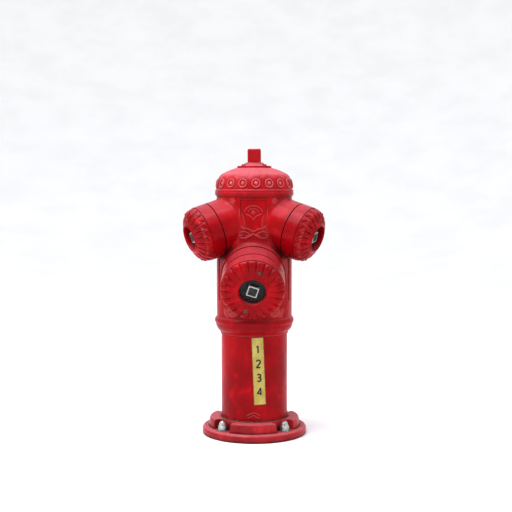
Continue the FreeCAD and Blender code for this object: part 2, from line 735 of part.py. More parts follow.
def cap_plug(outlet):
    """Threaded skirt and plate of the cap, with the operating square on its face."""
    low, high = cap_levels(outlet)
    inner = outlet["nozzle_r"] + THREAD_GAP
    plate_r = outlet["cover_r"] - COVER_WALL - HOLE_GAP
    body = ring(outlet["skirt_r"], inner, outlet["skirt_from"], low)
    square = prism(4, CAP_SQUARE, low, high + CAP_SQUARE_TALL)
    square.rotate(ORIGIN, UP, outlet["square_turn"])
    body = body.fuse([disc(plate_r, low, high), square])
    hole_r = CAP_SCREW_R + HOLE_GAP
    body = body.cut(cap_screw_holes(outlet, hole_r, low + CAP_SCREW_BLIND, high + CUT_PAST))
    return aimed(body, outlet)


def screw_head_levels(outlet):
    """Foot and top of the sunk heads of the cover's screws."""
    low = outlet["face"] - CROWN_DROP - outlet["screw_sunk"]
    return low, low + CAP_SCREW_R - RUNNING_GAP


def cap_cover(outlet):
    """Deep cup over the plug: smooth side, fluted shoulder, lipped hole in the face."""
    high = cap_levels(outlet)[1]
    outer = outlet["cover_r"]
    face = outlet["face"]
    shoulder = outlet["shoulder"]
    face_r = outlet["face_r"]
    crown = face - CROWN_DROP
    bend_r = (outer + face_r) / 2 + DOME_FULL * (outer - face_r)
    bend_s = (shoulder + crown) / 2 + DOME_FULL * (crown - shoulder)
    body = lathe(
        (outer - COVER_WALL, outlet["cover_from"]),
        (outer - COVER_CHAMFER, outlet["cover_from"]),
        (outer, outlet["cover_from"] + COVER_CHAMFER),
        (outer, shoulder),
        ((bend_r, bend_s), (face_r, crown)),
        (outlet["lip_r"] + LIP_BEVEL, crown),
        (outlet["lip_r"], face),
        (outlet["lip_r"] - LIP_BEVEL, face),
        (outlet["hole_r"], face - HOLE_BEVEL),
        (outlet["hole_r"], high),
        (outer - COVER_WALL, high),
    )
    slope = math.atan2(crown - shoulder, outer - face_r)
    out_r = math.sin(slope)
    out_s = math.cos(slope)
    flute_r = FLUTE_SPREAD * math.pi * bend_r / FLUTES
    reach = math.hypot(crown - shoulder, outer - face_r)
    middle_r = bend_r + (flute_r - FLUTE_DEEP) * out_r
    middle_s = bend_s + (flute_r - FLUTE_DEEP) * out_s
    along = FreeCAD.Vector(-out_s, 0, out_r)
    foot = FreeCAD.Vector(middle_r, 0, middle_s) - along * reach
    flute = Part.makeCylinder(flute_r, 2 * reach, foot, along)
    cuts = polar(flute, 0, FLUTES)
    head_foot = screw_head_levels(outlet)[0]
    shank_r = CAP_SCREW_R + HOLE_GAP
    cuts += cap_screw_holes(outlet, shank_r, high - CUT_PAST, face + CUT_PAST)
    head_r = outlet["screw_head_r"] + HOLE_GAP
    cuts += cap_screw_holes(outlet, head_r, head_foot, face + CUT_PAST)
    return aimed(body.cut(cuts), outlet)


def cover_screws(outlet):
    """Two sunk screws that hold the cover on the plug."""
    foot = cap_levels(outlet)[0] + CAP_SCREW_BLIND + STUD_END_GAP
    low, high = screw_head_levels(outlet)
    shanks = cap_screw_holes(outlet, CAP_SCREW_R, foot, low + CUT_PAST)
    heads = cap_screw_holes(outlet, outlet["screw_head_r"], low, high)
    screws = [shank.fuse(top) for shank, top in zip(shanks, heads)]
    return aimed(Part.makeCompound(screws), outlet)


# ---- write every sub-part ------------------------------------------------------------

save("base_plate", base_plate())
save("base_gasket", base_gasket())
save("barrel_foot", barrel_foot())
base_fixings()
save("foot_seal", o_ring(BARREL_R + SLIP + SEAL_R, FOOT_SEAL_Z, SEAL_R))
save("seat_ring", seat_ring())
save("lower_barrel", ring(BARREL_R, BARREL_R - BARREL_WALL, SOCKET_FLOOR_Z, BARREL_TOP))
save("head_seal", o_ring(BARREL_R + SLIP + SEAL_R, HEAD_SEAL_Z, SEAL_R))
save("stem_guide", stem_guide())
save("head", head())
bonnet_seal_r = BONNET_SPIGOT_R - BONNET_SEAL_R + HOLE_GAP
save("bonnet_seal", o_ring(bonnet_seal_r, BONNET_SEAL_Z, BONNET_SEAL_R))
save("bonnet", bonnet())
lock_screw_from = BONNET_SPIGOT_R - LOCK_GROOVE_DEEP + HOLE_GAP
save("lock_screw", lock_screw(LOCK_SCREW_R, lock_screw_from, HEAD_R - LOCK_SCREW_SUNK))
save("lower_thrust_washer", thrust_washer(CHAMBER_FLOOR))
save("upper_thrust_washer", thrust_washer(UPPER_WASHER_FOOT))
save("gland_plate", gland_plate())
save("gland_screws", gland_screws())
save("number_plate", number_plate())

save("stem", stem())
save("valve_back_plate", ring(BACK_PLATE_R, SPINDLE_HOLE_R, DISC_TOP, BACK_PLATE_TOP))
save("valve_disc", ring(DISC_R, SPINDLE_HOLE_R, DISC_FOOT, DISC_TOP))
save("valve_front_plate", ring(FRONT_PLATE_R, SPINDLE_HOLE_R, FRONT_PLATE_FOOT, DISC_FOOT))
save("valve_nut", valve_nut())

save("operating_nut", operating_nut())
nut_seal_r = SLEEVE_R - NUT_SEAL_R + RUNNING_GAP / 2
save(
    "nut_seals",
    Part.makeCompound([o_ring(nut_seal_r, level, NUT_SEAL_R) for level in NUT_SEAL_LEVELS]),
)

for each in OUTLETS:
    save(each["name"] + "_nozzle", nozzle(each))
    save(each["name"] + "_nozzle_gasket", nozzle_gasket(each))
    save(each["name"] + "_cap_gasket", cap_gasket(each))
    save(each["name"] + "_cap_plug", cap_plug(each))
    save(each["name"] + "_cap_cover", cap_cover(each))
    save(each["name"] + "_cover_screws", cover_screws(each))
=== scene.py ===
# %% [markdown]
# # A cast-iron pillar hydrant
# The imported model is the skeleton: every casting, cap, nut and seal already stands in its
# place, in metres. This lesson gives it skin: softer castings, cast ornament, worn enamel,
# a number plate and studio light. The frame itself is never moved.

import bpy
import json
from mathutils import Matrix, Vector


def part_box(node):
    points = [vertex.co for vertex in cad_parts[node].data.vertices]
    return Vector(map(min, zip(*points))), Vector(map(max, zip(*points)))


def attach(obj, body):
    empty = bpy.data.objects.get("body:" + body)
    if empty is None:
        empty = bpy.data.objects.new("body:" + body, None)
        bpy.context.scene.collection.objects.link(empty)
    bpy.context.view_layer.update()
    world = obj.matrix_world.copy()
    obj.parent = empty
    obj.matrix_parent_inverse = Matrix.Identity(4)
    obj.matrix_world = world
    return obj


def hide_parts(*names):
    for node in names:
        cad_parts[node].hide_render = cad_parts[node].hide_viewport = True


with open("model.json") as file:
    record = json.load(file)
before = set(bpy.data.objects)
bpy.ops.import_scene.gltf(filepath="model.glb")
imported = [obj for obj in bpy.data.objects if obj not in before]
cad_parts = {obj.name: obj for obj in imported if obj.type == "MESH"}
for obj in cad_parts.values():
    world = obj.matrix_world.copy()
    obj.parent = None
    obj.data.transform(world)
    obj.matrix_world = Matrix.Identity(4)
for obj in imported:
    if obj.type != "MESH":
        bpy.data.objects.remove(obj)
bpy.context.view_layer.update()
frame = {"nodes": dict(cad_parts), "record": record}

import json
import math

import bmesh
import bpy
import numpy as np

# %% [markdown]
# ## Millimetres and measuring
# A foundry drawing is in millimetres, so every shape below is worked out in millimetres and
# becomes metres only when its mesh is made. Sizes come from the frame: the box of a node on
# the column, or, for a cap, the node's own corners seen along its outlet's axis. An
# alternative is to repeat the numbers of the drawing, but then two files can disagree.

# %% Measuring helpers
MM = 0.001


def span(node):
    """Lowest and highest corner of a node's box, in millimetres."""
    low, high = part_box(node)
    return np.array(low) / MM, np.array(high) / MM


def corners_of(node):
    """All the corners of a node's mesh, in millimetres."""
    mesh = frame["nodes"][node].data
    flat = np.empty(3 * len(mesh.vertices))
    mesh.vertices.foreach_get("co", flat)
    return flat.reshape(-1, 3) / MM


JOINTS = {joint["name"]: joint for joint in frame["record"]["behaviour"]["joints"]}


def outlet_axes(side):
    """Place and directions of an outlet: its nozzle's mouth, then right, up and outward."""
    joint = JOINTS[side + "_cap_turn"]
    out = np.array(joint["axis"], float)
    out /= np.linalg.norm(out)
    right = np.array([-out[1], out[0], 0.0])
    right /= np.linalg.norm(right)
    return np.array(joint["pos_m"]) / MM, np.stack([right, np.cross(out, right), out])


def seen_along(side, node):
    """Smallest and largest radius, and the stretch along the axis, of a node of an outlet."""
    place, axes = outlet_axes(side)
    local = (corners_of(node) - place) @ axes.T
    radius = np.hypot(local[:, 0], local[:, 1])
    return radius.min(), radius.max(), local[:, 2].min(), local[:, 2].max()


SIDES = ("front", "left", "right")
HEAD_TOP = span("head")[1][2]
BARREL_R = span("lower_barrel")[1][0]
HEAD_OVER_BARREL = 11.0
HEAD_R = BARREL_R + HEAD_OVER_BARREL
RING_TOP = span("barrel_foot")[1][2]
PLATE_TOP = span("base_plate")[1][2]
for side in SIDES:
    print(side, "cover", [round(float(x), 1) for x in seen_along(side, side + "_cap_cover")])

# %% [markdown]
# ## From a grid of points to a mesh
# Each new piece is a surface: a function of two parameters, worked out for a whole grid at
# once. One helper turns such grids into a mesh with faces between neighbours. Where a row
# shrinks to a point, as at the top of a dome, its corners are merged, and the normals are
# then made to face outwards. Edges sharper than a limit stay crisp; the rest is smooth.

# %% Grid to mesh
WELD_M = 2e-6
SLIVER_M = 1e-7


def grid_faces(rows, cols, wrap_rows, wrap_cols):
    """Quads between the neighbours of a rows by cols grid, joined up where it wraps."""
    i = np.arange(rows if wrap_rows else rows - 1)
    j = np.arange(cols if wrap_cols else cols - 1)
    a, b = (part.ravel() for part in np.meshgrid(i, j, indexing="ij"))
    next_a, next_b = (a + 1) % rows, (b + 1) % cols
    quads = [a * cols + b, next_a * cols + b, next_a * cols + next_b, a * cols + next_b]
    return np.stack(quads, axis=1)


def make_piece(name, grids, finish, body, crisp=40.0, marks=None):
    """A mesh from grids of (points in mm, wraps in rows, wraps in columns).

    marks is a dict of name: one array per grid, kept as a number on each corner.
    """
    points, faces, first = [], [], 0
    for grid, wrap_rows, wrap_cols in grids:
        rows, cols = grid.shape[:2]
        points.append(grid.reshape(-1, 3) * MM)
        faces.append(grid_faces(rows, cols, wrap_rows, wrap_cols) + first)
        first += rows * cols
    mesh = bpy.data.meshes.new(name)
    mesh.from_pydata(np.concatenate(points).tolist(), [], np.concatenate(faces).tolist())
    for mark, arrays in (marks or {}).items():
        layer = mesh.attributes.new(mark, "FLOAT", "POINT")
        layer.data.foreach_set("value", np.concatenate([a.ravel() for a in arrays]))
    work = bmesh.new()
    work.from_mesh(mesh)
    bmesh.ops.remove_doubles(work, verts=work.verts, dist=WELD_M)
    bmesh.ops.dissolve_degenerate(work, edges=work.edges, dist=SLIVER_M)
    bmesh.ops.recalc_face_normals(work, faces=work.faces)
    work.to_mesh(mesh)
    work.free()
    mesh.shade_smooth()
    mesh.set_sharp_from_angle(angle=math.radians(crisp))
    mesh.materials.append(finish)
    piece = bpy.data.objects.new(name, mesh)
    bpy.context.scene.collection.objects.link(piece)
    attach(piece, body)
    print(f"{name}: {len(mesh.vertices)} corners, {len(mesh.polygons)} faces")
    return piece


# %% [markdown]
# ## Profiles
# A casting has no knife edges: sand moulds need rounded corners, and thick enamel rounds
# them more. So each profile is drawn with sharp corners and then eased: every corner is
# replaced by a short curve that leaves one side and arrives on the next. The eased line is
# then divided into short steps, so that ornament can be raised on it.

# %% Eased outlines


def eased(corners, radii, closed=True, steps=5):
    """Outline whose corner q becomes the curve (1-t)^2 a + 2t(1-t) q + t^2 b.

    a and b lie on the two sides, a radius away from the corner or just under half a side.
    """
    c = np.array(corners, float)
    radii = np.broadcast_to(np.array(radii, float), (len(c),))
    t = np.linspace(0, 1, steps)[:, None]
    parts = []
    for k in range(len(c)):
        if radii[k] == 0 or (not closed and k in (0, len(c) - 1)):
            parts.append(c[k : k + 1])
            continue
        back = c[k - 1] - c[k]
        ahead = c[(k + 1) % len(c)] - c[k]
        back_length, ahead_length = np.linalg.norm(back), np.linalg.norm(ahead)
        a = c[k] + back / back_length * min(radii[k], 0.49 * back_length)
        b = c[k] + ahead / ahead_length * min(radii[k], 0.49 * ahead_length)
        parts.append((1 - t) ** 2 * a + 2 * t * (1 - t) * c[k] + t**2 * b)
    return np.concatenate(parts)


def stepped(line, step, closed=True):
    """The same line with extra points, so that no step is longer than the one asked for."""
    ends = np.roll(line, -1, axis=0) if closed else line[1:]
    starts = line if closed else line[:-1]
    counts = np.maximum(1, np.ceil(np.linalg.norm(ends - starts, axis=1) / step)).astype(int)
    index = np.repeat(np.arange(len(starts)), counts)
    within = np.concatenate([np.arange(n) / n for n in counts])[:, None]
    fine = starts[index] * (1 - within) + ends[index] * within
    return fine if closed else np.vstack([fine, line[-1:]])


def outward(line, closed=True):
    """Unit normals of an (r, z) line whose outer wall runs upwards: the slope turned right."""
    if closed:
        slope = np.roll(line, -1, axis=0) - np.roll(line, 1, axis=0)
    else:
        slope = np.gradient(line, axis=0)
    normal = np.stack([slope[:, 1], -slope[:, 0]], axis=1)
    return normal / np.maximum(np.linalg.norm(normal, axis=1, keepdims=True), 1e-9)


def round_angles(count):
    """Evenly spaced angles of a full turn, in radians."""
    return np.linspace(0, 2 * np.pi, count, endpoint=False)


def polar(r, angles, z):
    """Points at radius r, angle and height z round the upright axis."""
    return np.stack(np.broadcast_arrays(r * np.cos(angles), r * np.sin(angles), z), axis=-1)


def turned(line, angles, lift=0.0, closed=True):
    """Surface of revolution: (r, z) turned by each angle, raised by lift along its normal."""
    raised = line[None] + np.asarray(lift)[..., None] * outward(line, closed)[None]
    raised = np.broadcast_to(raised, (len(angles),) + line.shape)
    return polar(raised[..., 0], angles[:, None], raised[..., 1])


def aimed(points, side):
    """Points made about an upright axis, set on an outlet's axis with z running outward."""
    place, axes = outlet_axes(side)
    return points @ axes + place


def rise(x, low, high):
    """Smooth step from 0 at low to 1 at high: 3t^2 - 2t^3 of the share t covered."""
    t = np.clip((x - low) / (high - low), 0, 1)
    return t * t * (3 - 2 * t)


# %% [markdown]
# ## The finishes
# Street enamel is thick, glossy and never flat: it was brushed over old coats and rough
# iron. Its colour drifts from place to place. What faces the sky is painted paler and pinker,
# partly dust and partly a painted sheen of the sky; where two surfaces meet the colour is
# painted near-black, partly grime and partly painted shade; raised edges are painted paler,
# partly rubbed paint and partly a painted highlight. All of it is worked out from object
# coordinates, the surface's own direction and how closed-in or raised a point is, so it
# stays on the iron as the camera moves. The fillets round the necks are thin skins, which
# would count as raised all over, so their own enamel gets hardly any rubbed paint or painted
# edge highlight. A small builder class keeps the node trees readable.

# %% Node helpers
OCCLUSION_SAMPLES = 6


class Finish:
    """A material under construction: adds nodes, links them and keeps its shader at hand."""

    def __init__(self, name):
        self.material = bpy.data.materials.new(name)
        self.material.use_nodes = True
        self.nodes = self.material.node_tree.nodes
        self.links = self.material.node_tree.links
        self.shader = self.nodes["Principled BSDF"]
        self.place = self.nodes.new("ShaderNodeTexCoord").outputs["Object"]

    def feed(self, socket, value):
        """Link a socket to another, or set its number or colour."""
        if isinstance(value, bpy.types.NodeSocket):
            self.links.new(value, socket)
        elif isinstance(value, tuple) and len(value) == 3:
            socket.default_value = (*value, 1.0)
        else:
            socket.default_value = value

    def noise(self, scale, detail=4.0, rough=0.55, warp=0.0, place=None):
        """Cloudy noise between 0 and 1, so many waves to the metre."""
        node = self.nodes.new("ShaderNodeTexNoise")
        node.inputs["Scale"].default_value = scale
        node.inputs["Detail"].default_value = detail
        node.inputs["Roughness"].default_value = rough
        node.inputs["Distortion"].default_value = warp
        self.links.new(self.place if place is None else place, node.inputs["Vector"])
        return node.outputs["Fac"]

    def streaks(self, scale, stretch):
        """Noise drawn out along the upright axis, like runs of rain."""
        mapping = self.nodes.new("ShaderNodeMapping")
        mapping.inputs["Scale"].default_value = (1.0, 1.0, 1.0 / stretch)
        self.links.new(self.place, mapping.inputs["Vector"])
        return self.noise(scale, 3.0, 0.5, place=mapping.outputs["Vector"])

    def ramp(self, value, low, high):
        """0 below low, 1 above high, smooth between."""
        node = self.nodes.new("ShaderNodeMapRange")
        node.interpolation_type = "SMOOTHSTEP"
        node.inputs["From Min"].default_value = low
        node.inputs["From Max"].default_value = high
        self.links.new(value, node.inputs["Value"])
        return node.outputs["Result"]

    def level(self, value, low, high):
        """Spread a 0 to 1 value between two numbers."""
        node = self.nodes.new("ShaderNodeMapRange")
        node.inputs["To Min"].default_value = low
        node.inputs["To Max"].default_value = high
        self.links.new(value, node.inputs["Value"])
        return node.outputs["Result"]

    def sum_up(self, operation, a, b):
        """Arithmetic on two values."""
        node = self.nodes.new("ShaderNodeMath")
        node.operation = operation
        self.feed(node.inputs[0], a)
        self.feed(node.inputs[1], b)
        return node.outputs["Value"]

    def mix(self, share, a, b):
        """Colour a where the share is 0 and colour b where it is 1."""
        node = self.nodes.new("ShaderNodeMix")
        node.data_type = "RGBA"
        self.feed(node.inputs["Factor"], share)
        self.feed(node.inputs[6], a)
        self.feed(node.inputs[7], b)
        return node.outputs[2]

    def closed_in(self, reach, inside=False):
        """1 in a crevice and 0 on an open surface, looking as far as reach in metres.

        Looking inside instead, it is 1 on a thin or sharp raised edge and 0 on a broad wall.
        """
        node = self.nodes.new("ShaderNodeAmbientOcclusion")
        node.samples = OCCLUSION_SAMPLES
        node.inside = inside
        node.inputs["Distance"].default_value = reach
        return self.sum_up("SUBTRACT", 1.0, node.outputs["AO"])

    def facing_up(self):
        """How much the surface faces the sky, from -1 to 1."""
        geometry = self.nodes.new("ShaderNodeNewGeometry")
        parts = self.nodes.new("ShaderNodeSeparateXYZ")
        self.links.new(geometry.outputs["Normal"], parts.inputs["Vector"])
        return parts.outputs["Z"]

    def mark(self, name):
        """A number kept on the mesh's corners."""
        node = self.nodes.new("ShaderNodeAttribute")
        node.attribute_name = name
        return node.outputs["Fac"]

    def relief(self, layers):
        """Bump from (value, depth in metres) layers, one laid over another."""
        normal = None
        for value, depth in layers:
            node = self.nodes.new("ShaderNodeBump")
            node.inputs["Distance"].default_value = depth
            self.links.new(value, node.inputs["Height"])
            if normal is not None:
                self.links.new(normal, node.inputs["Normal"])
            normal = node.outputs["Normal"]
        self.links.new(normal, self.shader.inputs["Normal"])

    def set(self, **values):
        """Set or link the shader's sockets by name, with _ for a space."""
        for name, value in values.items():
            self.feed(self.shader.inputs[name.replace("_", " ")], value)
        return self.material


# %% [markdown]
# ### Red enamel
# Three coats of colour make the red: a deep base, a fresher red in cloudy patches and dull
# streaks where rain runs. What faces up is painted paler and pinker, partly dust and partly
# a painted sky sheen; corners are painted brown-black, partly grime and partly painted shade;
# raised edges are painted paler, partly rubbed paint and partly a painted highlight; and
# small chips show older, darker paint. The bump has three layers: waves of the casting,
# brush and orange peel, and fine grit. The foot gets the same paint with more dirt and more
# painted sheen, and the top pieces get the most painted sheen.

# %% Enamel


def enamel(name, dust_and_sheen, grime_and_shade, chips, rubbed_and_highlit=1.3, tint=(0.43, 0.0018, 0.008)):
    """Glossy street enamel over cast iron, with shares of dust with painted sky sheen, grime with
    painted shade, chips, and rubbed edges with painted highlight.
    """
    f = Finish(name)
    deep = tuple(0.62 * part for part in tint)
    fresh = tuple(1.18 * part for part in tint)
    patches = f.ramp(f.noise(9.0, 3.0), 0.35, 0.7)
    colour = f.mix(patches, deep, tint)
    colour = f.mix(f.ramp(f.noise(34.0, 5.0, 0.6), 0.5, 0.75), colour, fresh)
    runs = f.ramp(f.streaks(60.0, 9.0), 0.55, 0.8)
    colour = f.mix(f.sum_up("MULTIPLY", runs, 0.35), colour, (0.26, 0.006, 0.008))
    # Painted sheen: what faces up is mixed towards pale pink, partly dust and partly a painted
    # reflection of the sky.
    sky = f.ramp(f.facing_up(), 0.25, 0.95)
    dust_and_sky_sheen = f.sum_up("MULTIPLY", sky, f.level(f.noise(70.0, 6.0, 0.7), 0.2, dust_and_sheen * 1.6))
    colour = f.mix(dust_and_sky_sheen, colour, (0.56, 0.150, 0.165))
    # Painted highlight: raised edges are mixed paler, partly rubbed paint and partly a painted
    # highlight.
    edge = f.ramp(f.closed_in(0.003, inside=True), 0.30, 0.85)
    edge = f.sum_up("MULTIPLY", edge, f.level(f.noise(150.0, 5.0, 0.7), 0.0, dust_and_sheen * rubbed_and_highlit))
    colour = f.mix(edge, colour, (0.62, 0.21, 0.20))
    # Painted shade: corners are mixed towards brown-black, partly grime and partly painted shade.
    corner = f.ramp(f.closed_in(0.014), 0.20, 0.66)
    corner = f.sum_up("MULTIPLY", corner, f.level(f.noise(120.0, 5.0, 0.7), 0.3, grime_and_shade * 1.7))
    colour = f.mix(corner, colour, (0.050, 0.006, 0.005))
    chipped = f.ramp(f.noise(210.0, 2.0, 0.5, 0.6), 0.80 - 0.12 * chips, 0.86)
    colour = f.mix(chipped, colour, (0.07, 0.012, 0.010))
    waves = f.noise(26.0, 2.0, 0.4)
    peel = f.noise(260.0, 3.0, 0.5)
    grit = f.noise(1100.0, 2.0, 0.6)
    f.relief([(waves, 0.0030), (peel, 0.00028), (grit, 0.00006), (chipped, -0.00015)])
    shine = f.level(f.noise(48.0, 4.0, 0.6), 0.20, 0.42)
    rough = f.sum_up("MAXIMUM", shine, f.sum_up("MULTIPLY", dust_and_sky_sheen, 0.75))
    rough = f.sum_up("MAXIMUM", rough, f.sum_up("MULTIPLY", corner, 0.8))
    return f.set(
        Base_Color=colour,
        Roughness=rough,
        Coat_Weight=0.16,
        Coat_Roughness=0.08,
        Specular_IOR_Level=0.10,
    )


# Each enamel's shares set its painted sky sheen with the dust, its painted shade with the grime and
# its painted edge highlight with the rubbing.
RED = enamel("red_enamel", dust_and_sheen=0.38, grime_and_shade=0.95, chips=0.35)
HOLLOW_RED = enamel("hollow_enamel", dust_and_sheen=0.38, grime_and_shade=0.95, chips=0.35, rubbed_and_highlit=0.2)
FOOT_RED = enamel("foot_enamel", dust_and_sheen=0.95, grime_and_shade=1.25, chips=0.8, tint=(0.45, 0.036, 0.042))
TOP_RED = enamel("top_enamel", dust_and_sheen=1.0, grime_and_shade=1.1, chips=0.4, tint=(0.46, 0.014, 0.022))
print("enamels:", RED.name, FOOT_RED.name, TOP_RED.name)

# %% [markdown]
# ### The other finishes
# Black paint on the cap plugs is worn through on the key's square; zinc on the cap nuts has
# gone patchy and greenish; the number plate is yellow with browned, chipped edges. Bronze,
# bare iron, bright steel and rubber are inside, and show when the caps are off.

# %% Worn black paint, zinc and the plate


def black_paint():
    """Dull black paint, dusty, rubbed to bare iron where the mark "worn" is high."""
    f = Finish("worn_black_paint")
    dusty = f.ramp(f.noise(160.0, 5.0), 0.4, 0.75)
    colour = f.mix(dusty, (0.010, 0.011, 0.010), (0.045, 0.045, 0.036))
    rub = f.sum_up("MULTIPLY", f.mark("worn"), f.level(f.noise(420.0, 4.0, 0.7), 0.5, 1.5))
    rub = f.ramp(rub, 0.35, 0.75)
    colour = f.mix(rub, colour, (0.50, 0.50, 0.46))
    f.relief([(f.noise(300.0, 3.0), 0.0003), (f.noise(1500.0, 2.0), 0.00006)])
    return f.set(
        Base_Color=colour,
        Metallic=f.sum_up("MULTIPLY", rub, 0.7),
        Roughness=f.level(f.noise(90.0, 3.0), 0.42, 0.7),
    )


def zinc():
    """Weathered zinc: grey patches, pale bloom and a greenish stain in the corners."""
    f = Finish("weathered_zinc")
    colour = f.mix(f.ramp(f.noise(170.0, 4.0), 0.35, 0.7), (0.30, 0.34, 0.31), (0.66, 0.68, 0.63))
    corner = f.ramp(f.closed_in(0.010), 0.35, 0.8)
    colour = f.mix(corner, colour, (0.13, 0.17, 0.12))
    f.relief([(f.noise(600.0, 3.0), 0.00012)])
    rough = f.level(f.noise(240.0, 3.0), 0.25, 0.5)
    return f.set(Base_Color=colour, Metallic=0.75, Roughness=rough)


def yellow_plate():
    """Yellow print on a thin plate; the mark "worn" browns and chips its edge."""
    f = Finish("yellow_plate")
    colour = f.mix(f.ramp(f.noise(40.0, 4.0), 0.35, 0.7), (0.42, 0.33, 0.07), (0.55, 0.46, 0.16))
    stain = f.ramp(f.noise(150.0, 6.0, 0.75), 0.56, 0.75)
    colour = f.mix(f.sum_up("MULTIPLY", stain, 0.45), colour, (0.50, 0.30, 0.04))
    chips = f.sum_up("ADD", f.mark("worn"), f.level(f.noise(260.0, 5.0, 0.7), -0.65, 0.55))
    colour = f.mix(f.ramp(chips, 0.42, 0.62), colour, (0.28, 0.15, 0.035))
    f.relief([(f.noise(220.0, 3.0), 0.00012)])
    return f.set(Base_Color=colour, Roughness=f.level(stain, 0.34, 0.6))


BLACK = black_paint()
ZINC = zinc()
YELLOW = yellow_plate()

# %% Simple inner finishes


def plain_metal(name, light, dark, rough, metallic=1.0, scale=180.0):
    """Metal whose colour drifts between two tones, with a fine tooled or cast grain."""
    f = Finish(name)
    colour = f.mix(f.ramp(f.noise(scale, 4.0), 0.35, 0.7), dark, light)
    f.relief([(f.noise(6.0 * scale, 2.0), 0.00008)])
    low, high = rough
    return f.set(Base_Color=colour, Metallic=metallic, Roughness=f.level(f.noise(60.0), low, high))


RUSTY = plain_metal("rusty_steel", (0.30, 0.12, 0.09), (0.10, 0.035, 0.03), (0.5, 0.75), 0.5)
BRONZE = plain_metal("bronze", (0.62, 0.40, 0.17), (0.36, 0.24, 0.10), (0.28, 0.5))
IRON = plain_metal("bare_iron", (0.16, 0.14, 0.12), (0.07, 0.055, 0.045), (0.55, 0.8), 0.6)
STEEL = plain_metal("bright_steel", (0.62, 0.62, 0.60), (0.45, 0.45, 0.44), (0.2, 0.38))
RUBBER = plain_metal("black_rubber", (0.035, 0.033, 0.031), (0.015, 0.015, 0.015), (0.6, 0.85), 0.0)
INK = plain_metal("black_ink", (0.030, 0.026, 0.020), (0.010, 0.009, 0.008), (0.4, 0.6), 0.0)

SLOT_FINISH = {
    "red_enamel": RED,
    "painted_bronze": TOP_RED,
    "painted_steel": TOP_RED,
    "black_iron": BLACK,
    "yellow_plate": YELLOW,
    "zinc_steel": ZINC,
    "stainless_steel": STEEL,
    "bronze": BRONZE,
    "bare_iron": IRON,
    "gasket_rubber": RUBBER,
    "seal_rubber": RUBBER,
    "valve_rubber": RUBBER,
}


def dress(node, finish):
    """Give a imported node's object one finish in every slot."""
    piece = frame["nodes"][node]
    if not piece.material_slots:
        piece.data.materials.append(finish)
    for holder in piece.material_slots:
        holder.link = "OBJECT"
        holder.material = finish


for row in frame["record"]["subparts"]:
    dress(row["node"], SLOT_FINISH[row["material_slot"]])
dress("base_plate", FOOT_RED)
dress("front_cover_screws", RUSTY)

# %% [markdown]
# ## The foot
# The raised ring round the barrel is cast in one with its flange and notched round the four
# cap nuts. Booleans could cut the notches, but they leave knife edges. Here the ring is a
# height over a flat ring of (angle, radius): the ring's own eased step, multiplied by one
# soft notch for each nut, so that every wall of a notch leans and rounds as cast iron does.

# %% Ring with four notches
FOOT_LOW, FOOT_HIGH = span("barrel_foot")
NUT_LOW, NUT_HIGH = span("base_cap_nuts")
FLANGE_R = FOOT_HIGH[0]
STUD_R = 6.0
STUDS_LOW, STUDS_HIGH = span("base_studs")
NUT_CIRCLE_R = math.hypot(*(0.5 * (STUDS_HIGH[:2] - STUDS_LOW[:2]) - STUD_R))
RING_R = 112.0
NOTCH_HALF = 29.0
NOTCH_INNER_R = 88.0
NUT_ANGLES = np.radians([45.0, 135.0, 225.0, 315.0])


def foot_ring():
    """Height z over (angle, r): flange level plus ring height times step times notches.

    The step falls from 1 to 0 over the last 5 mm before the ring's radius. A notch is 1
    outside its half width from the line through its nut and 0 inside, over a 3 mm lean.
    """
    angles = round_angles(720)
    radii = np.concatenate([np.linspace(BARREL_R + 0.3, 104, 24), np.linspace(104.6, 113.5, 22)])
    a, r = np.meshgrid(angles, radii, indexing="ij")
    step = np.sqrt(np.clip(1 - np.clip((r - (RING_R - 5)) / 5, 0, 1) ** 2, 0, 1))
    keep = np.ones_like(a)
    for nut_angle in NUT_ANGLES:
        away = a - nut_angle
        across, along = np.abs(r * np.sin(away)), r * np.cos(away)
        inside = (1 - rise(across, NOTCH_HALF - 3, NOTCH_HALF)) * rise(
            along, NOTCH_INNER_R - 2, NOTCH_INNER_R + 2
        )
        keep *= 1 - inside
    z = PLATE_TOP + (RING_TOP - PLATE_TOP) * step * keep
    wobble = 0.25 * np.sin(3 * a + 1.0) * np.sin(0.21 * r) * keep
    top = polar(r, a, np.minimum(z + wobble, RING_TOP))
    rim = np.array([[FLANGE_R - 0.6, PLATE_TOP], [FLANGE_R, PLATE_TOP - 0.6]])
    under = np.array(
        [[FLANGE_R, FOOT_LOW[2]], [58.0, FOOT_LOW[2]], [58.0, 24.0], [BARREL_R + 0.3, 24.0]]
    )
    rest = turned(np.vstack([rim, under]), angles, closed=False)
    return np.concatenate([top, rest], axis=1)


ring = make_piece(
    "foot_ring", [(foot_ring(), True, True)], FOOT_RED, "column", crisp=50
)
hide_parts("barrel_foot")

# %% [markdown]
# ### Cap nuts
# A domed cap nut is a hexagon with its corners turned off, a neck and a dome. As one
# function: at each height the outline is the smaller of a hexagon and a circle, and the
# circle's radius follows the turned profile. Four copies stand on the nut circle.

# %% Domed cap nuts


def cap_nut(turn):
    """Radius over (angle, level): min(hexagon, circle of the level's turned profile)."""
    flats = 9.5
    foot, top = NUT_LOW[2], NUT_HIGH[2]
    hexagon_top = foot + 11.0
    t = np.linspace(0, 1, 15)
    dome_r = 8.3
    spring = top - dome_r
    low = [foot, foot, foot + 0.9, hexagon_top - 1.2, hexagon_top]
    levels = np.concatenate([low, spring + dome_r * np.sin(t * np.pi / 2)])
    circle = np.concatenate([[0.0, 9.6, 10.9, 10.9, 9.2], dome_r * np.cos(t * np.pi / 2)])
    angles = round_angles(72)
    sector = (angles + turn) % (np.pi / 3) - np.pi / 6
    hexagon = flats / np.cos(sector)
    r = np.minimum(hexagon[:, None], circle[None])
    return polar(r, angles[:, None], levels)


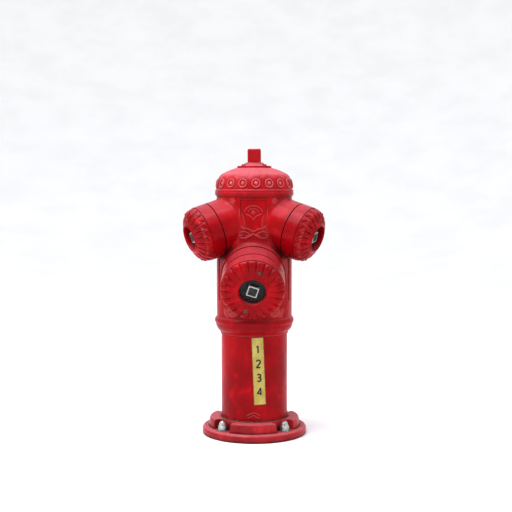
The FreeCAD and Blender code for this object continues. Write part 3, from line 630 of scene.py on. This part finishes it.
def cap_nuts():
    """One nut for each angle of the nut circle, each turned a little differently."""
    grids = []
    for k, angle in enumerate(NUT_ANGLES):
        centre = NUT_CIRCLE_R * np.array([np.cos(angle), np.sin(angle), 0.0])
        grids.append((cap_nut(0.37 * k) + centre, True, False))
    return grids


nuts = make_piece("cap_nuts", cap_nuts(), ZINC, "column", crisp=28)
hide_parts("base_cap_nuts")
print("nut circle radius", round(float(NUT_CIRCLE_R), 2))

# %% [markdown]
# ### The line of rust at the barrel's foot
# Water stands where the barrel enters the ring, so paint bridges the joint there and rust
# creeps out of it. A narrow concave fillet, turned round the barrel with an uneven edge,
# carries a brown, mossy version of the paint.

# %% Joint line


def rust_line():
    """Rust, moss and old paint in a joint."""
    f = Finish("rust_line")
    moss = f.ramp(f.noise(75.0, 5.0, 0.7), 0.42, 0.62)
    colour = f.mix(moss, (0.16, 0.022, 0.014), (0.12, 0.075, 0.035))
    colour = f.mix(f.ramp(f.noise(120.0, 4.0, 0.7), 0.55, 0.7), colour, (0.36, 0.16, 0.10))
    f.relief([(f.noise(400.0, 5.0), 0.0008)])
    return f.set(Base_Color=colour, Roughness=0.8)


RUST = rust_line()


def joint_fillet(level, low_r, high, wide, seed):
    """Concave quarter curve round the barrel: width and height drift as sines of the angle."""
    angles = round_angles(360)
    drift = 1 + 0.28 * np.sin(5 * angles + seed) + 0.2 * np.sin(11 * angles + 2 * seed)
    t = np.linspace(0, 1, 8)
    reach = wide * (1 - np.sin(t * np.pi / 2))
    climb = high * (1 - np.cos(t * np.pi / 2))
    sunk_r, sunk_z = np.full((360, 1), low_r - 0.2), np.full((360, 1), level - 0.3)
    r = np.concatenate([low_r + drift[:, None] * reach[None], sunk_r], axis=1)
    z = np.concatenate([level + drift[:, None] * climb[None], sunk_z], axis=1)
    return polar(r, angles[:, None], z)


line = make_piece(
    "foot_joint_line",
    [(joint_fillet(RING_TOP + 0.05, BARREL_R, 2.6, 3.0, 1.3), True, True)],
    RUST,
    "column",
)

# %% [markdown]
# ## The outlet caps
# Each cap's cover is a deep cup with a pleated shoulder, like a pie's crust: 22 rounded
# petals run from the lipped key hole over the shoulder and stop in round ends. The cup is a
# closed profile turned about the outlet's axis, and the petals are a lift along the
# profile's normal: a valley at each of 22 angles, strongest on the shoulder.

# %% Pleated covers
PETALS = 22
COVER_WALL = 7.0
SQUARE_TALL = 10.0


def cover_points(side):
    """Closed (r, s) cup profile, turned; lift = -depth(profile place) * valley(angle).

    The valley is (1 - |sin(n a / 2)|)^2, narrow and V-shaped with round petals between.
    """
    hole_r, outer, back, face = seen_along(side, side + "_cap_cover")
    plug_face = seen_along(side, side + "_cap_plug")[3] - SQUARE_TALL
    front = side == "front"
    shoulder = face - (17.0 if front else 34.0)
    face_r = outer - (11.0 if front else 13.0)
    lip_r = hole_r + (5.0 if front else 4.0)
    crown = face - 2.0
    if front:
        dome = [(outer - 1.0, (shoulder + crown) / 2), (face_r, crown - 0.4)]
    else:
        dome = [(outer - 2.2, shoulder + 12.0), (face_r, shoulder + 25.5)]
    corners = [
        (outer - COVER_WALL, back), (outer, back), (outer, shoulder), (outer - 2.0, shoulder + 0.2),
        (outer - 0.6, shoulder + 2.2), *dome,
        (lip_r + 2.5, crown - 0.6), (lip_r, face), (hole_r + 1.4, face), (hole_r, face - 3.4),
        (hole_r, plug_face), (outer - COVER_WALL, plug_face),
    ]
    radii = [0.5, 1.6, 0.7, 0.6, 1.6, 9.0, 8.0, 1.4, 1.8, 1.4, 1.6, 0.5, 2.0]
    line = stepped(eased(corners, radii), 1.5)
    angles = round_angles(528)
    valley = (1 - np.abs(np.sin(PETALS * angles / 2))) ** 2
    slow = 0.5 + 0.5 * np.sin(PETALS * angles + 0.6)
    r, s = line[:, 0], line[:, 1]
    fade_r = face_r + 2 if front else lip_r + 12
    on_shoulder = rise(s, shoulder + 2.5, shoulder + 7.0) * rise(r, lip_r + 3, fade_r)
    on_face = rise(s, crown - 4.0, crown - 1.5) * rise(r, lip_r + 2.5, lip_r + 9) * (r < outer - 3)
    depth = np.maximum(3.2 * on_shoulder, 1.3 * on_face)
    lift = -depth[None] * (valley[:, None] + 0.18 * slow[:, None])
    uneven = 0.18 * np.sin(7 * angles)[:, None] * on_shoulder[None]
    points = turned(line, angles, lift - np.abs(uneven))
    marks = np.broadcast_to(rise(s, face - 2.6, face - 0.3) * (r < lip_r + 1.5), points.shape[:2])
    return aimed(points, side), marks


for side in SIDES:
    grid, marks = cover_points(side)
    cover = make_piece(
        side + "_cover", [(grid, True, True)], RED, side + "_cap",
        crisp=60, marks={"worn": [marks]},
    )
    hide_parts(side + "_cap_cover")

# %% [markdown]
# ### Cap plugs and their squares
# The threaded plug fills the cup. Its face is seen at the bottom of the key hole: a black
# disc with the square that the key turns, rubbed bright along its edges. The square is one
# surface too: the outline is a rounded square, and its size shrinks near the top to chamfer
# it. How close a point is to an edge is kept as the mark "worn" for the paint.

# %% Plugs with a worn square
SQUARE_HALF = 13.0


def rounded_square(angles, half, corner):
    """Radius at each angle of a square with corner arcs: the smaller of flat and circle.

    The flat is half / max(|cos|, |sin|). The corner is the far crossing of the ray with a
    circle of the corner radius whose centre stands that far inside both flats.
    """
    c, s = np.abs(np.cos(angles)), np.abs(np.sin(angles))
    flat = half / np.maximum(c, s)
    centre = half - corner
    dot = centre * (c + s)
    root = np.sqrt(np.maximum(dot**2 - 2 * centre**2 + corner**2, 0))
    in_corner = (np.minimum(c, s) * flat > centre) & (dot**2 - 2 * centre**2 + corner**2 > 0)
    return np.where(in_corner, dot + root, flat)


def square_post(foot, top, half, corner, turn, chamfer=1.4):
    """Post of rounded-square section: levels with their half width, closed at the top."""
    angles = round_angles(192)
    levels = np.array([foot, foot + 0.8, top - chamfer, top - 0.35 * chamfer, top, top, top])
    eased_half, cut_half = half - 0.35 * chamfer, half - chamfer
    halves = np.array([half + 0.8, half, half, eased_half, cut_half, half - 4.5, 0.0])
    r = np.stack([
        rounded_square(angles - turn, max(h, 0.01), min(corner, 0.9 * h + 0.001)) for h in halves
    ], axis=1)
    edge = np.array([0.1, 0.15, 0.75, 1.0, 0.9, 0.25, 0.12])
    corner_near = rise(r[:, 2] / half, 1.22, 1.36)[:, None] * (levels > foot + 0.5)[None]
    worn = np.maximum(edge[None], 0.95 * corner_near * (halves > half - 2)[None])
    return polar(r, angles[:, None], levels), worn


SEAL_PLAY = 0.05
SQUARE_TURN = {"front": -18.0, "left": 12.0, "right": 12.0}


def plug_points(side):
    """Skirt and plate as a closed turned profile, and the square on the plate."""
    skirt_inner = seen_along(side, side + "_nozzle")[1] + 0.4
    outer, back, tip = seen_along(side, side + "_cap_plug")[1:]
    seat = seen_along(side, side + "_cap_gasket")[3] + SEAL_PLAY
    plate_top = tip - SQUARE_TALL
    skirt_r = skirt_inner + (8.6 if side == "front" else 9.6)
    corners = [
        (skirt_inner, back), (skirt_r, back), (skirt_r, seat), (outer, seat),
        (outer, plate_top), (0.02, plate_top), (0.02, seat), (skirt_inner, seat),
    ]
    line = stepped(eased(corners, [0.5, 1.2, 0.4, 0.6, 0.8, 0, 0, 0.4]), 3.0)
    body = turned(line, round_angles(192))
    turn = math.radians(SQUARE_TURN[side])
    post, worn = square_post(plate_top - 0.5, tip, SQUARE_HALF, 2.2, turn)
    grids = [(aimed(body, side), True, True), (aimed(post, side), True, False)]
    return grids, [np.zeros(body.shape[:2]), worn]


for side in SIDES:
    grids, worn = plug_points(side)
    plug = make_piece(
        side + "_plug", grids, BLACK, side + "_cap", crisp=45, marks={"worn": worn}
    )
    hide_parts(side + "_cap_plug")

# %% [markdown]
# ## Cast ornament
# Rings, scrolls, leaves and beads are raised a millimetre or two on the walls of the
# castings. A pattern maker presses them in wax on the pattern, so here too each one is drawn
# flat, as a line in (u, v) millimetres, and laid on a wall. A wall is a function that gives
# the point and the outward direction for every (u, v): a column, the dome, or the plate.

# %% Walls and beads
DOME_R = 94.0
SUNK = 0.8


def bowed(start, middle, end, count=14):
    """Curve (1-t)^2 a + 2t(1-t) c + t^2 b with c chosen so that it passes the middle."""
    a, m, b = (np.array(p, float) for p in (start, middle, end))
    t = np.linspace(0, 1, count)[:, None]
    return (1 - t) ** 2 * a + 2 * t * (1 - t) * (2 * m - (a + b) / 2) + t**2 * b


def column_wall(radius):
    """Wall of an upright column: u runs round it from the front, v is the height."""

    def place(u, v):
        """Point and outward direction at angle u / radius from the front."""
        a = u / radius
        normal = np.stack([np.sin(a), -np.cos(a), np.zeros_like(a)], axis=-1)
        return radius * normal + np.stack([0 * v, 0 * v, v], axis=-1), normal

    return place


def lathe_wall(line, radius):
    """Wall of a turned piece: u runs round at the radius named, v along the (r, z) line."""
    length = np.concatenate([[0], np.cumsum(np.linalg.norm(np.diff(line, axis=0), axis=1))])
    slopes = outward(line, closed=False)

    def place(u, v):
        """Point and outward direction by interpolation along the line."""
        a = u / radius
        r, z = np.interp(v, length, line[:, 0]), np.interp(v, length, line[:, 1])
        n_r, n_z = np.interp(v, length, slopes[:, 0]), np.interp(v, length, slopes[:, 1])
        point = np.stack([r * np.sin(a), -r * np.cos(a), z], axis=-1)
        return point, np.stack([n_r * np.sin(a), -n_r * np.cos(a), n_z], axis=-1)

    return place


def through(points, closed=False, count=12):
    """Smooth line through points: Catmull-Rom pieces, so many steps to each."""
    p = np.array(points, float)
    if closed:
        p = np.vstack([p[-1:], p, p[:2]])
    else:
        p = np.vstack([2 * p[0] - p[1], p, 2 * p[-1] - p[-2]])
    t = np.linspace(0, 1, count, endpoint=False)[:, None]
    a, b, c, d = (p[k : len(p) - 3 + k, None] for k in range(4))
    bend, twist = 2 * a - 5 * b + 4 * c - d, 3 * b - a - 3 * c + d
    line = 0.5 * (2 * b + (c - a) * t + bend * t**2 + twist * t**3)
    line = line.reshape(-1, 2)
    return line if closed else np.vstack([line, p[-2:-1]])


def bead(wall, line, wide, high, closed=False, flat=0.5):
    """Raised line on a wall: section high * (1 - q^2)^flat over q in -1..1 of its width.

    Open ends narrow as a half circle does. Below the wall the section goes on a little, so
    the bead is a closed skin sunk in the casting.
    """
    taper = np.ones(len(line))
    if not closed:
        step = np.linalg.norm(np.diff(line, axis=0), axis=1)
        run = np.concatenate([[0], np.cumsum(step)])
        end = np.minimum(run, run[-1] - run) / wide
        taper = np.sqrt(np.clip(1 - np.clip(1 - end, 0, 1) ** 2, 0, 1))
    across = outward(line, closed)
    q = np.concatenate([np.linspace(-1, 1, 11), [0.9, -0.9]])
    top = high * np.maximum(1 - q**2, 0) ** flat
    top[-2:] = -SUNK
    sideways = q[None, :, None] * (wide * taper)[:, None, None]
    flat_line = line[:, None] + across[:, None] * sideways
    point, normal = wall(flat_line[..., 0], flat_line[..., 1])
    lift = np.where(top[None] > 0, top[None] * taper[:, None], top[None])
    return point + normal * (lift - 0.12)[..., None], closed, True


def boss(wall, centre, radius, height, count=64, rings=12):
    """Raised ornament in polar (angle, share of radius): both given as functions of them."""
    angles = round_angles(count)[:, None]
    share = np.concatenate([np.linspace(0, 1, rings), [1.0]])[None]
    reach = radius(angles) * share
    u, v = centre[0] + reach * np.cos(angles), centre[1] + reach * np.sin(angles)
    point, normal = wall(u, v)
    lift = height(angles, share) - 0.1
    lift[:, -1] = -SUNK
    return point + normal * lift[..., None], True, False


def mirrored(line):
    """The same line on the other side of the middle."""
    return line * np.array([-1.0, 1.0])


# %% [markdown]
# ### The bonnet
# The domed top turns about the column's axis. Its outer line rises from the joint with the
# head through a band and a bright narrow edge, over a full shoulder to the flat where the
# gland sits. Eighteen cast rings stand round its foot and soft petals run up to the gland;
# the petals are a lift of the turned surface, the rings are beads laid on it.

# %% Bonnet with rings and petals
RING_COUNT = 18
RING_FIRST = 3.9
BONNET_TOP = span("bonnet")[1][2]
BONNET_FOOT = span("bonnet")[0][2]


def bonnet_outer():
    """Outer (r, z) line from the joint with the head up to the gland's flat."""
    h = HEAD_TOP
    band = [
        (94.0, h), (94.0, h + 2.2), (96.2, h + 4.2), (96.2, h + 8.6), (95.4, h + 10.2),
        (95.6, h + 12.0), (96.2, h + 13.2), (95.2, h + 15.4), (93.4, h + 16.4),
    ]
    low = eased(band, 0.9, closed=False, steps=4)
    side = bowed((93.4, h + 16.6), (87.8, h + 44.0), (75.2, h + 56.2), 26)
    top = bowed((74.4, h + 56.6), (60.0, h + 63.2), (43.6, BONNET_TOP - 0.3), 22)
    return np.vstack([low, side, top])


def bonnet_shell():
    """Closed turned profile; lift = 1.5 * |cos(9 a)|^0.7 - 1.3 on the dome's upper part."""
    outer = bonnet_outer()
    inner = [
        (42.0, BONNET_TOP), (30.0, BONNET_TOP), (30.0, 616.0), (20.4, 616.0), (20.4, 606.0),
        (41.0, 606.0), (41.0, 632.0), (62.0, 630.0), (83.0, 601.0), (73.0, 591.0),
        (73.0, BONNET_FOOT), (81.6, BONNET_FOOT), (81.6, HEAD_TOP),
    ]
    line = np.vstack([outer, inner])
    angles = round_angles(432)
    r, z = line[:, 0], line[:, 1]
    outside = np.arange(len(line)) < len(outer) - 1
    petals = rise(z, HEAD_TOP + 40, HEAD_TOP + 50) * rise(r, 45, 56) * outside
    wave = np.abs(np.cos(RING_COUNT / 2 * (angles - math.radians(RING_FIRST) + math.pi / 2)))
    return turned(line, angles, petals[None] * (1.5 * wave[:, None] ** 0.7 - 1.3))


dome = lathe_wall(bonnet_outer(), DOME_R)
DOME_UP = 33.5
grids = [(bonnet_shell(), True, True)]
for k in range(RING_COUNT):
    u = math.radians(RING_FIRST + 360 / RING_COUNT * k) * DOME_R
    circle = np.stack([np.cos(round_angles(48)), np.sin(round_angles(48))], axis=1)
    grids.append(bead(dome, np.array([u, DOME_UP]) + circle * [9.4, 9.6], 2.0, 2.4, closed=True))
    grids.append(boss(
        dome, (u, DOME_UP + 1.0), lambda a: 4.2 + 0 * a, lambda a, s: 1.1 * (1 - s**2) + 0 * a, 32, 8
    ))
top = make_piece("bonnet_dome", grids, TOP_RED, "column", crisp=50)
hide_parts("bonnet")
print("bonnet from", round(BONNET_FOOT, 1), "to", round(BONNET_TOP, 1))

# %% [markdown]
# ### Gland and operating nut
# The gland plate is a low turned cone round the nut's neck. The nut is the part that the
# hydrant key turns: a square with rounded, knocked corners and a chamfered top, standing on
# its own round sleeve. Both are drawn as closed skins like the plugs.

# %% Gland plate and square nut
GLAND_FOOT = span("gland_plate")[0][2]
NUT_FOOT, NUT_TOP = span("operating_nut")[0][2], span("operating_nut")[1][2]
NUT_SQUARE_FOOT = 664.3
NUT_SQUARE_HALF = 16.0
THREAD_R, SLEEVE_R, COLLAR_R = 12.3, 20.0, 29.6
COLLAR_LOW, COLLAR_HIGH = 618.9, 628.9


def gland_points():
    """Closed (r, z) profile: spigot, plate, cone and bore, eased and turned."""
    top = BONNET_TOP
    corners = [
        (20.4, GLAND_FOOT), (29.8, GLAND_FOOT), (29.8, top), (42.0, top), (41.6, top + 4.6),
        (30.5, top + 5.6), (25.5, top + 8.5), (22.6, top + 12.0), (20.4, top + 12.0),
    ]
    line = stepped(eased(corners, [0.3, 0.3, 0.3, 0.6, 1.8, 3.0, 3.0, 1.0, 0.3]), 1.5)
    return turned(line, round_angles(192))


gland = make_piece("gland_cone", [(gland_points(), True, True)], TOP_RED, "column")
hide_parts("gland_plate")


def nut_sleeve():
    """Closed profile of the sleeve with its thrust collar and blind threaded bore."""
    roof, bore_end = NUT_SQUARE_FOOT + 0.6, NUT_SQUARE_FOOT - 2.0
    corners = [
        (THREAD_R, NUT_FOOT), (SLEEVE_R, NUT_FOOT), (SLEEVE_R, COLLAR_LOW),
        (COLLAR_R, COLLAR_LOW), (COLLAR_R, COLLAR_HIGH), (SLEEVE_R, COLLAR_HIGH),
        (SLEEVE_R, roof), (0.02, roof), (0.02, bore_end), (THREAD_R, bore_end),
    ]
    line = stepped(eased(corners, [0.5, 0.8, 0.3, 0.6, 0.6, 0.3, 0.4, 0, 0, 0.3]), 3.0)
    return turned(line, round_angles(144))


nut_post, nut_worn = square_post(NUT_SQUARE_FOOT, NUT_TOP, NUT_SQUARE_HALF, 3.4, 0.0, chamfer=2.6)
nut_post = nut_post + 0.16 * np.sin(0.9 * nut_post[..., 2:3]) * np.array([1.0, 1.0, 0.0])
square_nut = make_piece(
    "square_nut", [(nut_sleeve(), True, True), (nut_post, True, False)], TOP_RED, "nut",
    crisp=45, marks={"worn": [np.zeros(nut_sleeve().shape[:2]), nut_worn]},
)
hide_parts("operating_nut")

# %% [markdown]
# ### Fillets round the necks
# Where an outlet's neck leaves the column the casting has a generous hollow corner, filled
# further by paint. For each angle round the neck the crossing with the column is worked out
# exactly: a point of the neck is A = a right + b up + s out, and it lies on the column when
# a^2 + (b sin t + s cos t)^2 = R^2, which gives s. The fillet is a curve from the neck to a
# wider such crossing, pulled towards the corner.

# %% Neck fillets
FILLET_WIDE = 7.0


def neck_fillet(side, widest):
    """Closed ring of sections: neck point, curve, column point, sunk point."""
    place, axes = outlet_axes(side)
    right, up, out = axes
    neck_r = seen_along(side, side + "_cap_cover")[1]
    centre = place - out * np.dot(place[:2], out[:2]) / np.dot(out[:2], out[:2])
    flat = math.hypot(out[0], out[1])
    end = np.linalg.norm(place - centre) + seen_along(side, side + "_cap_cover")[2] - 2.0
    angles = round_angles(360)[:, None]

    def crossing(radius):
        """Along-axis place where a line beside the axis meets the column's wall."""
        a, b = radius * np.cos(angles), radius * np.sin(angles)
        along = (np.sqrt(np.maximum(HEAD_R**2 - a**2, 1)) + b * out[2]) / flat
        return np.minimum(along, end - 0.6)

    first = crossing(neck_r)
    tries = np.linspace(0.05, widest, 60)[None]
    wide_r = neck_r + tries
    level = centre[2] + wide_r * np.sin(angles) * up[2] + crossing(wide_r) * out[2]
    good = (first + tries < end) & (level < HEAD_TOP - 0.4) & (wide_r < HEAD_R - 1)
    reach = np.where(good, tries, 0.05).max(axis=1, keepdims=True)
    around = np.cos(angles)[..., None] * right + np.sin(angles)[..., None] * up

    def point(radius, along):
        """Point of the outlet's frame: radius round the axis, distance along it."""
        return centre + radius[..., None] * around + along[..., None] * out

    ones = np.ones_like(first)
    neck_point = point(neck_r * ones, first + reach)
    corner = point(neck_r * ones, first)
    wall_point = point(neck_r + reach, crossing(neck_r + reach))
    t = np.linspace(0, 1, 8)[None, :, None]
    curve = (1 - t) ** 2 * neck_point + 2 * t * (1 - t) * corner + t**2 * wall_point
    sunk = point((neck_r - 1.5) * ones, first - 1.5)
    return np.concatenate([curve, sunk], axis=1)


for side in SIDES:
    grids = [(neck_fillet(side, FILLET_WIDE), True, True)]
    make_piece(side + "_neck_fillet", grids, HOLLOW_RED, "column")

# %% [markdown]
# ### Ornament of the head
# On the front of the head a shield-shaped panel frames a small emblem (a plain drop between
# two arcs, standing for water), with a pair of scrolls under it and a rosette in each upper
# corner. Leaves fill the corners above the collar, beads run down beside the front neck,
# and a small chevron stands at the barrel's foot.

# %% Head ornament
head_wall = column_wall(HEAD_R)
barrel_wall = column_wall(BARREL_R)


def symmetric(half):
    """Smooth line through points from the left end to the middle, then their mirror images."""
    return through(half + [(-u, v) for u, v in half[-2::-1]])


ARC = symmetric([(-22.5, 545.5), (-18.0, 553.0), (-10.0, 558.8), (0.0, 560.6)])
LOWER = symmetric([(-20.0, 541.5), (-12.0, 539.0), (-5.0, 534.5), (0.0, 528.5)])
INNER_ARC = symmetric([(-13.0, 545.0), (-8.5, 552.0), (0.0, 554.6)])
BRACE = symmetric([(-31.0, 512.5), (-24.0, 507.0), (-12.0, 506.0), (0.0, 500.5)])
SCROLL = through([
    (2.0, 489.5), (9.0, 493.5), (17.0, 498.0), (26.0, 499.5),
    (33.5, 496.5), (35.5, 491.8), (31.0, 489.6), (28.0, 492.6),
])
TAIL = through([
    (-3.0, 496.0), (6.0, 491.0), (14.0, 486.0), (23.0, 484.0), (30.5, 485.5), (33.0, 487.6),
])
HANGING = through([(5.0, 488.5), (10.5, 490.2), (15.5, 489.0), (17.0, 486.2), (13.5, 484.6)])


def drop_outline(a):
    """Radius of a drop with its point upwards."""
    return 4.6 * (1 + 0.55 * np.maximum(np.sin(a), 0) ** 6)


def rosette_lift(a, s):
    """Five lobes round a button, with a groove between."""
    lobes = 0.55 + 0.45 * np.abs(np.cos(2.5 * a)) * rise(s, 0.2, 0.5)
    groove = 1 - 0.45 * rise(s, 0.28, 0.42) * (1 - rise(s, 0.42, 0.6))
    return 2.3 * (1 - s**4) * lobes * groove


def leaf_outline(a):
    """A leaf: long along its middle rib, with shallow lobes."""
    return 13.0 / np.sqrt(np.cos(a) ** 2 + 3.2 * np.sin(a) ** 2) * (1 + 0.10 * np.cos(8 * a))


def leaf_lift(a, s):
    """Domed leaf with a rib along the middle."""
    rib = np.exp(-((s * np.sin(a) / 0.09) ** 2))
    return 1.7 * (1 - s**2) * (0.75 + 0.25 * np.cos(8 * a) * s) + 0.7 * rib * (1 - s)


def tilted(shape, turn):
    """The same outline or lift, turned."""
    return lambda a, *rest: shape(a - turn, *rest)


grids = [
    bead(head_wall, ARC, 1.5, 1.5), bead(head_wall, LOWER, 1.5, 1.5),
    bead(head_wall, INNER_ARC, 1.0, 1.1),
    boss(head_wall, (0.0, 544.5), drop_outline, lambda a, s: 1.8 * (1 - s**2) + 0 * a),
    bead(head_wall, BRACE, 2.0, 1.8),
]
for line in (SCROLL, TAIL, HANGING):
    grids += [bead(head_wall, line, 1.9, 2.0), bead(head_wall, mirrored(line), 1.9, 2.0)]
for across in (-1.0, 1.0):
    grids.append(boss(
        head_wall, (across * 54.0, 571.5), lambda a: 8.6 + 0.7 * np.cos(5 * a), rosette_lift
    ))
    for centre_u, centre_v, turn in ((62.0, 309.0, 1.9), (52.0, 301.0, 2.9), (74.0, 303.0, 1.0)):
        angle = turn if across > 0 else math.pi - turn
        outline, lift = tilted(leaf_outline, angle), tilted(leaf_lift, angle)
        grids.append(boss(head_wall, (across * centre_u, centre_v), outline, lift))
    upright = np.stack([np.full(60, across * 108.0), np.linspace(330.0, 432.0, 60)], axis=1)
    grids.append(bead(head_wall, upright, 2.4, 2.0))
make_piece("head_ornament", grids, RED, "column")

CHEVRON = symmetric([(-17.0, 56.0), (-9.0, 60.5), (0.0, 63.5)])
CHEVRON_LOW = symmetric([(-16.0, 50.5), (-8.0, 53.0), (0.0, 57.5)])
grids = [bead(barrel_wall, line, 1.6, 1.2) for line in (CHEVRON, CHEVRON_LOW)]
make_piece("barrel_ornament", grids, RED, "column")

# %% [markdown]
# ## The number plate
# A thin yellow plate is glued on the barrel, leaning a little. It is one closed sheet bent
# to the barrel: each (p, q) of the flat plate goes to x and z, and y follows from the
# cylinder. Its mark "worn" rises towards the edges. Four plain digits are beads of ink,
# almost flat; they stand for a number and mean nothing else.

# %% Plate and digits
PLATE_LOW, PLATE_HIGH = span("number_plate")
PLATE_WIDE, PLATE_LONG, PLATE_LEAN = 30.0, 164.0, math.radians(2.3)
PLATE_MIDDLE = 0.5 * (PLATE_LOW + PLATE_HIGH)
PLATE_BACK_R = BARREL_R + 0.1
PLATE_FACE_R = PLATE_BACK_R + 1.4


def plate_wall(p, q):
    """Plate's face: (p, q) leaned in the x-z plane, then y on the cylinder of the face."""
    x = PLATE_MIDDLE[0] + p * math.cos(PLATE_LEAN) - q * math.sin(PLATE_LEAN)
    z = PLATE_MIDDLE[2] + p * math.sin(PLATE_LEAN) + q * math.cos(PLATE_LEAN)
    y = -np.sqrt(PLATE_FACE_R**2 - x**2)
    return np.stack([x, y, z], axis=-1), np.stack([x, y, 0 * z], axis=-1) / PLATE_FACE_R


def plate_points():
    """Sections across the plate, face then back, with ragged long edges; mark of wear."""
    p = np.linspace(-1, 1, 25)
    share = np.concatenate([p, p[::-1]])[None]
    lift = np.concatenate([np.full(25, 0.0), np.full(25, -1.35)])[None]
    lift = lift - 0.5 * (np.abs(share) > 0.99) * (lift > -1)
    q = np.linspace(-1, 1, 121)[:, None]
    ragged = 0.35 * np.sin(31 * q) * np.sin(13 * q + 1)
    half_p, half_q = 0.5 * PLATE_WIDE - 0.4, 0.5 * PLATE_LONG - 0.3
    point, normal = plate_wall(share * (half_p + np.abs(share) ** 6 * ragged), q * half_q + 0 * share)
    edge = np.minimum(half_p * (1 - np.abs(share)), half_q * (1 - np.abs(q)))
    points = point + normal * (lift + 0 * q)[..., None]
    ends = points[[0, -1]].mean(axis=1, keepdims=True) + 0 * points[[0, -1]]
    points = np.concatenate([ends[:1], points, ends[1:]])
    worn = 1 - rise(edge, 0.0, 3.4)
    return points, np.concatenate([worn[:1], worn, worn[-1:]])


points, worn = plate_points()
plate = make_piece(
    "yellow_number_plate", [(points, False, True)], YELLOW, "column",
    crisp=35, marks={"worn": [worn]},
)
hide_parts("number_plate")

STROKES = {
    "1": [[(-3.5, 5.5), (0.5, 9.0), (0.5, -9.0)]],
    "2": [[
        (-4.8, 5.0), (-3.0, 8.4), (1.0, 9.0), (4.4, 6.6),
        (4.2, 2.4), (0.0, -3.0), (-4.8, -9.0), (5.0, -9.0),
    ]],
    "3": [[
        (-4.6, 7.4), (0.0, 9.0), (4.2, 6.6), (3.4, 2.2), (-0.6, 0.8),
        (3.8, -1.0), (4.8, -5.0), (1.6, -8.6), (-4.8, -7.6),
    ]],
    "4": [[(3.0, -9.0), (3.0, 9.0), (-5.0, -3.6), (5.6, -3.6)]],
}
grids = []
for place_q, digit in zip((52.0, 18.0, -16.0, -50.0), "1234"):
    for stroke in STROKES[digit]:
        line = stepped(np.array(stroke), 0.8, closed=False) + np.array([0.0, place_q])
        grids.append(bead(plate_wall, line, 2.0, 0.22, flat=0.12))
make_piece("plate_digits", grids, INK, "column", crisp=60)

# %% [markdown]
# ## Stage, light and camera
# The hydrant stands on plain pale ground: a wide shallow bowl, flat where the hydrant
# stands, that rises far away so the ground meets the pale sky without a line. The light is
# an open sky: a pale world, one very large cool panel above and two weak warm ones to the
# left and right, so that what faces up gets a broad cool sheen and what faces down stays
# deep red. The camera is 0.6 m up and 2.5 m away, a little to the right, looking down a bit.

# %% Ground


def pale_ground():
    """Pale ground with a faint mottle."""
    f = Finish("pale_ground")
    colour = f.mix(f.ramp(f.noise(3.0, 5.0), 0.3, 0.7), (0.92, 0.92, 0.92), (0.96, 0.96, 0.96))
    f.relief([(f.noise(160.0, 3.0), 0.0004)])
    return f.set(Base_Color=colour, Roughness=0.9, Specular_IOR_Level=0.2)


def ground_points():
    """Bowl: height 0 as far as 4 m, then rising as the square of the distance."""
    r = np.concatenate([[0.0], np.geomspace(200.0, 14000.0, 60)])
    z = 0.00045 * np.maximum(r - 4000.0, 0) ** 2 / 4
    return turned(np.stack([r, z], axis=1)[::-1], round_angles(96), closed=False)


points = ground_points()
mesh = bpy.data.meshes.new("ground")
mesh.from_pydata(
    (points.reshape(-1, 3) * MM).tolist(), [], grid_faces(96, points.shape[1], True, False).tolist()
)
mesh.shade_smooth()
mesh.materials.append(pale_ground())
ground = bpy.data.objects.new("ground", mesh)
bpy.context.scene.collection.objects.link(ground)
print("ground reaches", round(float(np.abs(points[..., 0]).max() * MM), 1), "m")

# %% Light


def soft_panel(name, place, size, power, colour):
    """Square area light aimed at the middle of the hydrant."""
    light = bpy.data.lights.new(name, "AREA")
    light.shape = "SQUARE"
    light.size = size
    light.energy = power
    light.color = colour
    lamp = bpy.data.objects.new(name, light)
    lamp.location = place
    aim = np.array([0.0, 0.0, 0.40]) - np.array(place)
    across = math.hypot(aim[0], aim[1])
    heading = math.atan2(aim[1], aim[0]) - math.pi / 2
    lamp.rotation_euler = (math.atan2(across, -aim[2]), 0.0, heading)
    bpy.context.scene.collection.objects.link(lamp)
    print(name, "at", place, "of", power, "W")


world = bpy.data.worlds.new("pale_sky")
world.use_nodes = True
world.node_tree.nodes["Background"].inputs["Color"].default_value = (0.99, 0.995, 1.0, 1.0)
world.node_tree.nodes["Background"].inputs["Strength"].default_value = 1.0
bpy.context.scene.world = world
soft_panel("sky_panel", (-0.9, -1.0, 3.2), 2.6, 110.0, (0.80, 0.84, 1.0))
soft_panel("left_panel", (-2.8, -1.6, 1.7), 1.4, 13.0, (1.0, 0.98, 0.96))
soft_panel("right_panel", (2.6, -1.9, 1.4), 1.2, 8.0, (1.0, 0.97, 0.94))

# %% Camera
CAMERA_AWAY = 2.5
CAMERA_TALL = 0.598
CAMERA_ROUND = math.radians(1.4)
CAMERA_DOWN = math.radians(3.70)
CAMERA_PAN = math.radians(0.095)
CAMERA_LENS = 71.72
CONTRAST_GAMMA = 0.78
view = bpy.data.cameras.new("camera")
view.sensor_width = 36.0
view.lens = CAMERA_LENS
camera = bpy.data.objects.new("camera", view)
camera.location = (
    CAMERA_AWAY * math.sin(CAMERA_ROUND), -CAMERA_AWAY * math.cos(CAMERA_ROUND), CAMERA_TALL
)
camera.rotation_euler = (math.pi / 2 - CAMERA_DOWN, 0.0, CAMERA_ROUND - CAMERA_PAN)
bpy.context.scene.collection.objects.link(camera)
bpy.context.scene.camera = camera
bpy.context.scene.view_settings.view_transform = "Standard"
bpy.context.scene.view_settings.gamma = CONTRAST_GAMMA
print("camera at", [round(c, 3) for c in camera.location])
